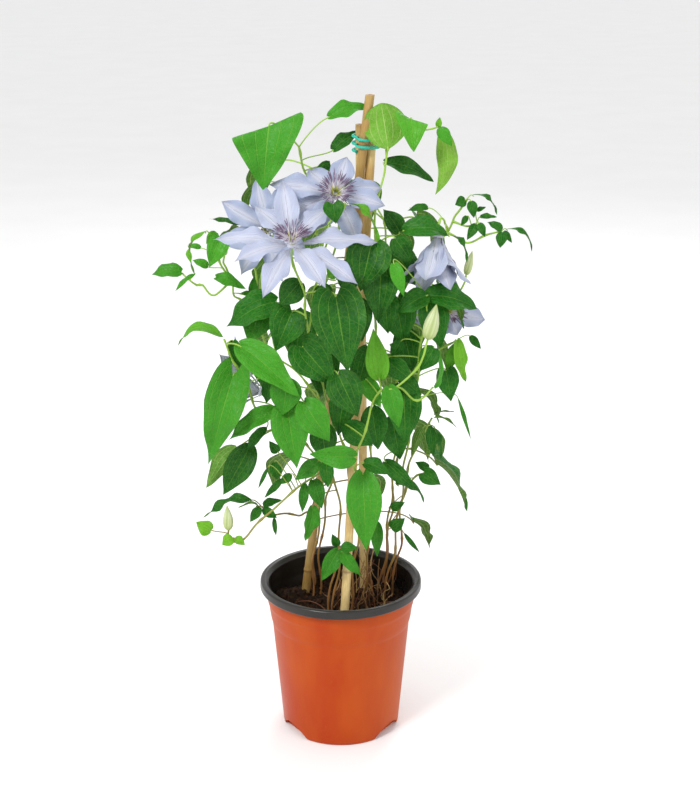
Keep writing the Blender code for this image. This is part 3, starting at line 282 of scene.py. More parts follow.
def new_material(name, roughness, ior=1.45):
    """A material with a bare Principled shader: (material, node tree, shader)."""
    made = bpy.data.materials.new(name)
    made.use_nodes = True
    shader = made.node_tree.nodes["Principled BSDF"]
    feed(shader, {"Roughness": roughness, "IOR": ior})
    return made, made.node_tree, shader


SMOOTH = {"interpolation_type": "SMOOTHSTEP"}
COLOURS = {"data_type": "RGBA"}
print("leaf green in linear light:", [round(c, 3) for c in linear("0F5A0E")])

# %% [markdown]
# ### Living leaf
# A clematis leaf has a waxy skin over green tissue. Its main veins start together at the stalk
# and run to the tip along the outline, so in the leaf's own UV map (across from margin to
# margin, along from stalk to tip) they are straight lines at fixed places across. Between
# them lies a net of fine veins, in cells about 4 mm wide, drawn in the second UV map, which is
# in mm.
# The upper side is darker and glossier, with sunk veins; the underside is pale, with raised ones.

# %% Leaf material
def leaf_material():
    made, tree, shader = new_material("living leaf, waxy skin", 0.42)
    blade = add_node(tree, "UVMap", uv_map="blade")
    place = add_node(tree, "SeparateXYZ", [blade])
    fine = add_node(tree, "UVMap", uv_map="millimetres")
    upper, tone, _ = growth_parts(tree)
    # Five main veins: the distance from the nearest multiple of 0.36 across, out to 0.72.
    centred = add_node(tree, "Math", (place.outputs["X"], 0.5), operation="SUBTRACT")
    spread = add_node(tree, "Math", (centred, 2 / 0.36), operation="MULTIPLY")
    between = add_node(tree, "Math", (spread, 0.5), operation="PINGPONG")
    veins = add_node(tree, "MapRange", (between, 0.0, 0.07, 1.0, 0.0), **SMOOTH)
    away = add_node(tree, "Math", [centred], operation="ABSOLUTE")
    midrib = add_node(tree, "MapRange", (away, 0.004, 0.022, 1.0, 0.0), **SMOOTH)
    thick = add_node(tree, "MapRange", (between, 0.01, 0.11, 1.0, 0.0), **SMOOTH)
    # Side veins slant forward from the midrib, and a net of cells about 4 mm wide fills the rest.
    wander = add_node(tree, "TexNoise", {"Vector": fine, "Scale": 0.11, "Detail": 2.0})
    slanted = add_node(tree, "Math", (away, -3.4, wander), operation="MULTIPLY_ADD")
    counted = add_node(tree, "Math", (place.outputs["Y"], 7.5, slanted), operation="MULTIPLY_ADD")
    beside = add_node(tree, "Math", (counted, 0.5), operation="PINGPONG")
    sides = add_node(tree, "MapRange", (beside, 0.0, 0.09, 0.8, 0.0), **SMOOTH)
    cells = add_node(tree, "TexVoronoi", {"Vector": fine, "Scale": 0.26},
                     feature="DISTANCE_TO_EDGE")
    mesh = add_node(tree, "MapRange", (cells, 0.0, 0.14, 0.6, 0.0), **SMOOTH)
    net = add_node(tree, "Math", (sides, mesh), operation="MAXIMUM")
    # Colour: from dark leaves to light ones by each leaf's tone, partly its own age colour and partly
    # painted light and shade; clouded, with paler veins.
    flesh_with_painted_shade = add_node(tree, "ValToRGB", [tone],
                     stops=((0.0, "04360A"), (0.3, "0F5A0E"), (0.6, "3F9220"), (1.0, "7CB428")))
    clouds = add_node(tree, "TexNoise", {"Vector": fine, "Scale": 0.09, "Detail": 3.0})
    cloud = add_node(tree, "MapRange", (clouds, 0.3, 0.7, 0.0, 0.22))
    fresh = add_node(tree, "Mix", {0: cloud, 6: flesh_with_painted_shade, 7: linear("3C8E18")}, **COLOURS)
    both = add_node(tree, "Math", (veins, midrib), operation="MAXIMUM")
    seen = add_node(tree, "Math", (both, 0.3), operation="MULTIPLY")
    thin = add_node(tree, "Math", (net, 0.13, seen), operation="MULTIPLY_ADD")
    veined = add_node(tree, "Mix", {0: thin, 6: fresh, 7: linear("86B848")}, **COLOURS)
    dull = add_node(tree, "Mix", {0: 0.4, 6: fresh, 7: linear("6F9438")}, **COLOURS)
    heavy = add_node(tree, "Math", (thick, midrib), operation="MAXIMUM")
    branched = add_node(tree, "Math", (net, 0.45, heavy), operation="MULTIPLY_ADD")
    ribbed = add_node(tree, "Math", (branched, 0.5), operation="MULTIPLY")
    below = add_node(tree, "Mix", {0: ribbed, 6: dull, 7: linear("B4CC7C")}, **COLOURS)
    colour = add_node(tree, "Mix", {0: upper, 6: below, 7: veined}, **COLOURS)
    # Relief: veins sunk on the upper side and raised on the underside, with the tissue between
    # them swollen a little, in fields about 7 mm wide.
    fields = add_node(tree, "TexVoronoi", {"Vector": fine, "Scale": 0.14}, feature="SMOOTH_F1")
    sunk = add_node(tree, "Math", (both, 0.5), operation="MULTIPLY")
    deep = add_node(tree, "Math", (net, 0.4, sunk), operation="MULTIPLY_ADD")
    deep = add_node(tree, "Math", (fields, 1.6, deep), operation="MULTIPLY_ADD")
    turn = add_node(tree, "MapRange", (upper, 0.0, 1.0, 1.0, -1.0))
    relief = add_node(tree, "Math", (deep, turn), operation="MULTIPLY")
    bump = add_node(tree, "Bump", {"Strength": 0.8, "Distance": 0.0009, "Height": relief})
    gloss = add_node(tree, "MapRange", (upper, 0.0, 1.0, 0.6, 0.4))
    feed(shader, {"Base Color": colour, "Normal": bump, "Roughness": gloss,
                  "Specular IOR Level": 0.2})
    return made


LEAF = leaf_material()
print(LEAF.name, "has", len(LEAF.node_tree.nodes), "nodes")

# %% [markdown]
# ### Living petal
# Petals of this clematis are thin, matt and almost white along three close ribs in the middle,
# and turn a cool lilac blue towards their waved margins. Fine veins run along them.

# %% Petal material
def petal_material():
    made, tree, shader = new_material("living petal, matt and thin", 0.55)
    blade = add_node(tree, "UVMap", uv_map="blade")
    place = add_node(tree, "SeparateXYZ", [blade])
    parts = growth_parts(tree)
    centred = add_node(tree, "Math", (place.outputs["X"], 0.5), operation="SUBTRACT")
    away = add_node(tree, "Math", [centred], operation="ABSOLUTE")
    bar = add_node(tree, "MapRange", (away, 0.04, 0.3, 1.0, 0.0), **SMOOTH)
    lilac = add_node(tree, "ValToRGB", [place.outputs["Y"]],
                     stops=((0.0, "BABCCC"), (0.25, "AEB4C8"), (0.8, "A9B0C7"), (1.0, "A4ACC4")))
    # The bloom's share in the growth colour's green darkens its petals towards grey blue: painted
    # shade.
    with_painted_shade = add_node(tree, "Mix", {0: parts[1], 6: lilac, 7: linear("8595B6")}, **COLOURS)
    colour = add_node(tree, "Mix", {0: bar, 6: with_painted_shade, 7: linear("BEC1D0")}, **COLOURS)
    # Veins run along the petal: a wave across it, bent a little by noise.
    fine = add_node(tree, "UVMap", uv_map="millimetres")
    drift = add_node(tree, "TexNoise", {"Vector": fine, "Scale": 0.12, "Detail": 2.0})
    bent = add_node(tree, "Math", (drift, 0.1, centred), operation="MULTIPLY_ADD")
    many = add_node(tree, "Math", (bent, 17.0), operation="MULTIPLY")
    between = add_node(tree, "Math", (many, 0.5), operation="PINGPONG")
    veins = add_node(tree, "MapRange", (between, 0.05, 0.28, 1.0, 0.0), **SMOOTH)
    faint = add_node(tree, "Math", (veins, 0.36), operation="MULTIPLY")
    veined = add_node(tree, "Mix", {0: faint, 6: colour, 7: linear("969AB8")}, **COLOURS)
    ribs = add_node(tree, "Math", (centred, 0.09), operation="PINGPONG")
    raised = add_node(tree, "MapRange", (ribs, 0.0, 0.045, 1.0, 0.0), **SMOOTH)
    middle = add_node(tree, "Math", (raised, bar), operation="MULTIPLY")
    relief = add_node(tree, "Math", (veins, 0.35, middle), operation="MULTIPLY_ADD")
    bump = add_node(tree, "Bump", {"Strength": 0.8, "Distance": 0.0006, "Height": relief})
    feed(shader, {"Base Color": veined, "Normal": bump, "Sheen Weight": 0.15,
                  "Sheen Roughness": 0.5})
    return made


PETAL = petal_material()
print(PETAL.name, "has", len(PETAL.node_tree.nodes), "nodes")

# %% [markdown]
# ### Stems, stamens and buds
# A clematis stem is fresh yellow green where it is young and turns to brown, stringy bark near
# the soil. Stamens are cream threads with dull purple tips, round a tuft of yellow green
# styles. Buds are cream with green ribs. Each runs through a colour ramp: the stem by its
# height above the soil, the others by how far along they are, kept in the growth colour.

# %% Stem, stamen and bud materials
def stem_material():
    made, tree, shader = new_material("living stem, bark below", 0.5)
    where = add_node(tree, "TexCoord").outputs["Object"]
    place = add_node(tree, "SeparateXYZ", [where])
    mottled = add_node(tree, "TexNoise", {"Vector": where, "Scale": 35.0, "Detail": 2.0})
    lifted = add_node(tree, "Math", (mottled, 0.14, place.outputs["Z"]), operation="MULTIPLY_ADD")
    share = add_node(tree, "MapRange", (lifted, 0.15, 0.47))
    ramp = add_node(tree, "ValToRGB", [share],
                    stops=((0.0, "6A4A2C"), (0.22, "8E6234"), (0.5, "84843A"),
                           (0.75, "84A838"), (1.0, "8FB640")))
    parts = growth_parts(tree)
    dead = add_node(tree, "Mix", {0: parts[2], 6: linear("6A3B20"), 7: linear("B99A62")}, **COLOURS)
    colour = add_node(tree, "Mix", {0: parts[1], 6: ramp, 7: dead}, **COLOURS)
    longways = add_node(tree, "Mapping", {"Vector": where, "Scale": (1.0, 1.0, 0.12)})
    strings = add_node(tree, "TexNoise", {"Vector": longways, "Scale": 1500.0, "Detail": 2.0})
    bump = add_node(tree, "Bump", {"Strength": 0.4, "Distance": 0.0002, "Height": strings})
    feed(shader, {"Base Color": colour, "Normal": bump})
    return made


def stamen_material():
    made, tree, shader = new_material("living stamen, pollen dusted", 0.7)
    parts = growth_parts(tree)
    thread = add_node(tree, "ValToRGB", [parts[0]],
                      stops=((0.0, "E2DDE2"), (0.54, "D8D0DA"), (0.66, "86708A"), (1.0, "554058")))
    styles = add_node(tree, "ValToRGB", [parts[0]], stops=((0.0, "8F9C42"), (1.0, "CFCF78")))
    colour = add_node(tree, "Mix", {0: parts[1], 6: thread, 7: styles}, **COLOURS)
    feed(shader, {"Base Color": colour})
    return made


def bud_material():
    made, tree, shader = new_material("living bud, downy", 0.6)
    parts = growth_parts(tree)
    ramp = add_node(tree, "ValToRGB", [parts[0]],
                    stops=((0.0, "8CA24C"), (0.22, "B6C186"), (0.7, "C2CBA2"), (1.0, "A2B06C")))
    rib = add_node(tree, "Mix", {0: parts[2], 6: ramp, 7: linear("8FA05C")}, **COLOURS)
    feed(shader, {"Base Color": rib, "Sheen Weight": 0.3, "Sheen Roughness": 0.4})
    return made


STEM, STAMEN, BUD = stem_material(), stamen_material(), bud_material()

# %% [markdown]
# ## Stems
# Each shoot rises out of the soil and follows its route upwards; a branch starts on it at the
# nearest point. A route that ends in a bloom or bud comes up under it. The routes are the solid
# model's own rows, but the curve through them is now cut finely and sways a little, and the stem
# is as thin as a real one: 2 mm where it leaves the soil, 1.6 to 1.8 mm at the top, and thicker
# at the joints where leaves spring.

# %% Routes of the stems
SOIL_TOP = 0.118
STEM_DEPTH = 0.016
PEDICEL_STRAIGHT = 0.012
HEART_HEIGHT = 0.0042
GAP = 0.0003
STEMS = {
    "shoot_top": ((19, 2), [
        [(368, 570, -2), (369, 500, -16), (372, 430, -32), (374, 350, -38), (375, 290, -36),
         (376.5, 214, -28), (379, 190, -22), (386, 161, -18), (387, 147, -16)],
        [(387, 149, -16), (405, 128, -8), (428, 129, -12), (438, 127, -12)],
    ]),
    "shoot_top_left": ((0, 34), [
        [(347, 545, 36), (352, 470, 34), (346, 400, 36), (333, 340, 30), (322, 260, 20),
         (314, 205, 8), (310, 181, -2), (303.5, 164, -8), (299, 147, -10)],
    ]),
    "shoot_centre": ((1, -33), [
        [(346, 570, -27), (349, 520, -21), (350, 475, -16), (338, 425, -36), (316, 370, -56),
         (307, 345, -60), (307, 317, -68), (303, 292, -74), "bloom_front"],
        [(307, 330, -64), (317, 285, -56), (321, 248, -62), (331, 222, -68), (345, 206, -68)],
        [(312, 312, -52), (330, 270, -30), (338, 235, -26), "bloom_upper"],
    ]),
    "shoot_bud": ((9, -28), [
        [(354, 570, -24), (359, 520, -42), (361, 490, -56), (355, 466, -66),
         (359, 447, -70), (369.5, 413, -72), (383, 389, -72), (394, 386.6, -74), (415, 371, -74),
         (424, 355, -74), "bud_front"],
        [(383, 389, -72), (398, 388, -70), (415, 399, -66), (424, 397, -62), (433, 387, -58)],
    ]),
    "shoot_centre_left": ((-7, -14), [
        [(338, 570, -14), (340, 520, -10), (332, 470, -18), (308, 425, -42), (284, 370, -46),
         (270, 330, -40), (262, 306, -34)],
    ]),
    "shoot_left_mid": ((-27, 14), [
        [(314, 560, 10), (319, 515, 2), (320, 470, -8), (298, 430, -22), (262, 412, -34),
         (246, 385, -44), (230, 352, -50), (224, 339, -50)],
        [(283, 440, -22), (277, 424, -18), "bloom_left"],
    ]),
    "shoot_left_high": ((-30, 37), [
        [(312, 548, 36), (318, 495, 32), (325, 440, 30), (318, 396, 40), (292, 370, 46),
         (268, 345, 44), (248, 307, 26), (233, 294, 4), (231, 284, -8), (227, 268, -14), "bud_left"],
        [(231, 285, -14), (216, 295, -20), (203, 285, -22), (196, 286, -22), (189, 281, -22),
         (182, 273, -20)],
        [(262, 332, 40), (256, 285, 36), (251, 250, 30), (248, 232, 22)],
        [(231, 284, -8), (223, 268, -28), (217, 250, -38), (211, 236, -38)],
        [(259, 310, 40), (262, 280, 40), "bloom_behind"],
        [(315, 512, 33), (298, 514, 12), (278, 515, -8), (262, 507, -14)],
    ]),
    "shoot_left_low": ((-20, 26), [
        [(320, 550, 22), (326, 505, 16), (331, 478, -6), (324, 470, -36), (302, 485, -50),
         (279, 504, -54), (256, 525, -54), (244.5, 538, -52), (237, 542, -50), "bud_low"],
    ]),
    "shoot_front_low": ((-12, -34), [
        [(331, 592, -36), (334, 567, -40), (339, 550, -44)],
    ]),
    "shoot_right_high": ((36, 26), [
        [(388, 540, 26), (396, 460, 26), (404, 380, 18), (414, 310, 4), (424, 266, 6),
         (440, 238, 8), (449, 228, 6), (455, 218, 4), (461, 209, 2), (467, 199, 2)],
        [(446, 232, 7), (469, 241, -2), (486, 236, -4), (502, 231, -4)],
        [(452, 222, 2), (468, 226, -2), (477, 223, -2)],
        [(413, 316, 4), (440, 306, 2), (457, 293, 4), "bud_right"],
        [(448, 229, 6), (444, 220, -12), "bloom_right"],
        [(410, 335, 8), (413, 340, 40), (428, 332, 66), "bloom_side"],
    ]),
    "shoot_right_mid": ((40, 6), [
        [(392, 560, 0), (402, 490, -8), (410, 420, -24), (418, 370, -32), (424, 330, -38),
         (427, 297, -40)],
        [(417, 372, -32), (436, 352, -22), (456, 341, -14)],
    ]),
    "shoot_right_low": ((48, 22), [
        [(400, 545, 22), (402, 500, 16), (410, 465, 6), (422, 435, -2), (432, 418, -6)],
        [(403, 498, 14), (414, 478, -4), (424, 473, -8)],
    ]),
    "shoot_back_left": ((-26, 50), [
        [(314, 540, 58), (319, 470, 66), (318, 400, 66), (316, 340, 60), (322, 270, 52),
         (330, 225, 40)],
    ]),
    "shoot_back_right": ((42, 40), [
        [(388, 530, 50), (396, 430, 58), (394, 340, 58), (390, 270, 48), (384, 220, 36)],
    ]),
}

# %% Blooms and buds
BLOOMS = {
    "bloom_front": ((292, 243), -81, (0.0, -0.47, 0.88), 62, 22, 22, -4),
    "bloom_upper": ((335, 194), -43, (0.12, -0.82, 0.56), 44, 22, 75, -6),
    "bloom_behind": ((268, 229), -2, (-0.35, -0.9, 0.25), 46, 21, 110, 4),
    "bloom_right": ((438, 238), -26, (-0.08, -0.28, -0.95), 53, 29, 0, 58),
    "bloom_side": ((446, 312), 50, (0.35, -0.75, 0.56), 40, 24, 10, 2),
    "bloom_left": ((259, 391), -22, (-0.97, 0.1, 0.2), 54, 23, 20, 46),
}
UNEVEN_PETALS = {
    "bloom_front": ((9, 1.1, 3), (48, 0.7, 14), (99, 0.92, 38), (133, 0.74, 16), (170, 1.04, 6),
                    (208, 0.8, 0), (248, 0.92, 0), (297, 0.95, 0), (327, 1.0, 0)),
    "bloom_upper": ((12, 0.92, 0), (69, 0.78, 0), (126, 0.72, 0), (168, 1.2, 0), (198, 1.08, 0),
                    (240, 0.76, 0), (292, 0.97, 0), (345, 0.92, 0)),
    "bloom_side": ((-14, 1.0, 0), (34, 0.62, 0), (84, 0.7, 0), (134, 0.8, 0), (184, 0.8, 0),
                   (236, 0.6, 0), (290, 0.52, 0)),
}
BUDS = {
    "bud_front": ((427.8, 339.5), (436.5, 304.5), -74, 13.5),
    "bud_right": ((466.2, 275), (472.3, 251), 4, 7.6),
    "bud_low": ((228.6, 530), (227, 505.5), -50, 9.4),
    "bud_left": ((224.4, 255.5), (225.5, 243), -14, 5.2),
}


# %% Stem curves
def route_points(route):
    """A route's points; a name at its end stands for the bend and tip under that bloom or bud."""
    points = [seen_at(*point) for point in route if not isinstance(point, str)]
    if route[-1] in BLOOMS:
        pixels, behind, facing = BLOOMS[route[-1]][:3]
        face = unit(np.array(facing))
        tip = seen_at(*pixels, behind) - face * (HEART_HEIGHT + GAP)
        points += [tip - face * PEDICEL_STRAIGHT, tip]
    elif route[-1] in BUDS:
        foot, bud_tip, behind, _ = BUDS[route[-1]]
        ahead = unit(seen_at(*bud_tip, behind) - seen_at(*foot, behind))
        tip = seen_at(*foot, behind) - ahead * GAP
        points += [tip - ahead * PEDICEL_STRAIGHT / 2, tip]
    return points


STEM_STEP = 0.003
STEM_SWAY = 0.0014
STEM_SWAY_FADE = 0.02
STEM_JOINT_SPACING = 0.038
STEM_JOINT_SWELL = 0.55
STEM_JOINT_WIDTH = 0.0028


def lengths_along(path):
    """How far along a path each of its points is."""
    return np.concatenate(([0.0], np.cumsum(np.linalg.norm(np.diff(path, axis=0), axis=1))))


def swaying(path, seed):
    """A path plus a sine of the length along it in each direction, which fades at both ends."""
    along = lengths_along(path)[:, None]
    rng = np.random.default_rng(seed)
    fade = np.clip(np.minimum(along, along[-1] - along) / STEM_SWAY_FADE, 0, 1)
    waves = math.tau * along / rng.uniform(0.035, 0.07, 3) + rng.uniform(0, math.tau, 3)
    return path + STEM_SWAY * fade * np.sin(waves)


def jointed(path, radii):
    """A stem's radii, swollen by a bell at each joint where leaves may spring."""
    half = STEM_JOINT_SPACING / 2
    away = (lengths_along(path) + half) % STEM_JOINT_SPACING - half
    bell = np.exp(-((away / STEM_JOINT_WIDTH) ** 2))
    return np.linspace(*radii, len(path)) * (1 + STEM_JOINT_SWELL * bell)


def stem_paths(name):
    """A shoot's stem and branches: up out of its hole in the soil, then along its routes."""
    (x, y), routes = STEMS[name]
    hole = np.array((x, y, 0)) * MM
    start = [hole + (0, 0, SOIL_TOP - STEM_DEPTH), hole + (0, 0, SOIL_TOP + 0.004)]
    paths = [swaying(smooth_path(start + route_points(routes[0]), STEM_STEP), len(name))]
    for route in routes[1:]:
        points = route_points(route)
        everywhere = np.vstack(paths)
        root = everywhere[np.argmin(np.linalg.norm(everywhere - points[0], axis=1))]
        paths.append(swaying(smooth_path([root] + points[1:], STEM_STEP), len(name) + len(paths)))
    return paths


PATHS = {name: stem_paths(name) for name in STEMS}
print("metres of stem:", round(sum(np.linalg.norm(np.diff(p, axis=0), axis=1).sum()
                                   for paths in PATHS.values() for p in paths), 2))

# %% [markdown]
# ## Leaves
# A leaf is a shell: a lens-shaped ring carried from stalk to tip. Half its width at t follows t
# to one exponent times 1 - t to another, which gives the full rounded shoulders and the drawn
# out tip; a lobe pulls the margins back beside the stalk, so the base is heart shaped. In the
# solids each leaf was moved in small steps along the line of sight until it was clear of its
# neighbours. The same steps are tried here, and the one whose tip is a corner of the solid is
# the leaf's place, so the fine leaf lies exactly where the solid one does.

# %% Leaf rows
# A row: pixels of base and tip, mm behind the axis of base and tip, width in mm, form, and where
# they differ from F, 0.08 and 0: which way the leaf faces, its arch and its sideways bow.
FACES = {
    "F": (0.0, -1.0, 0.25), "FL": (-0.6, -1.0, 0.2), "FR": (0.6, -1.0, 0.2),
    "U": (0.0, -0.35, 1.0), "UF": (0.0, -1.0, 0.8), "UL": (-0.8, -0.4, 0.7),
    "UR": (0.8, -0.4, 0.7), "L": (-1.0, -0.4, 0.1), "R": (1.0, -0.4, 0.1),
    "A": (0.0, 1.0, 0.3), "UA": (0.0, 0.45, 1.0),
}
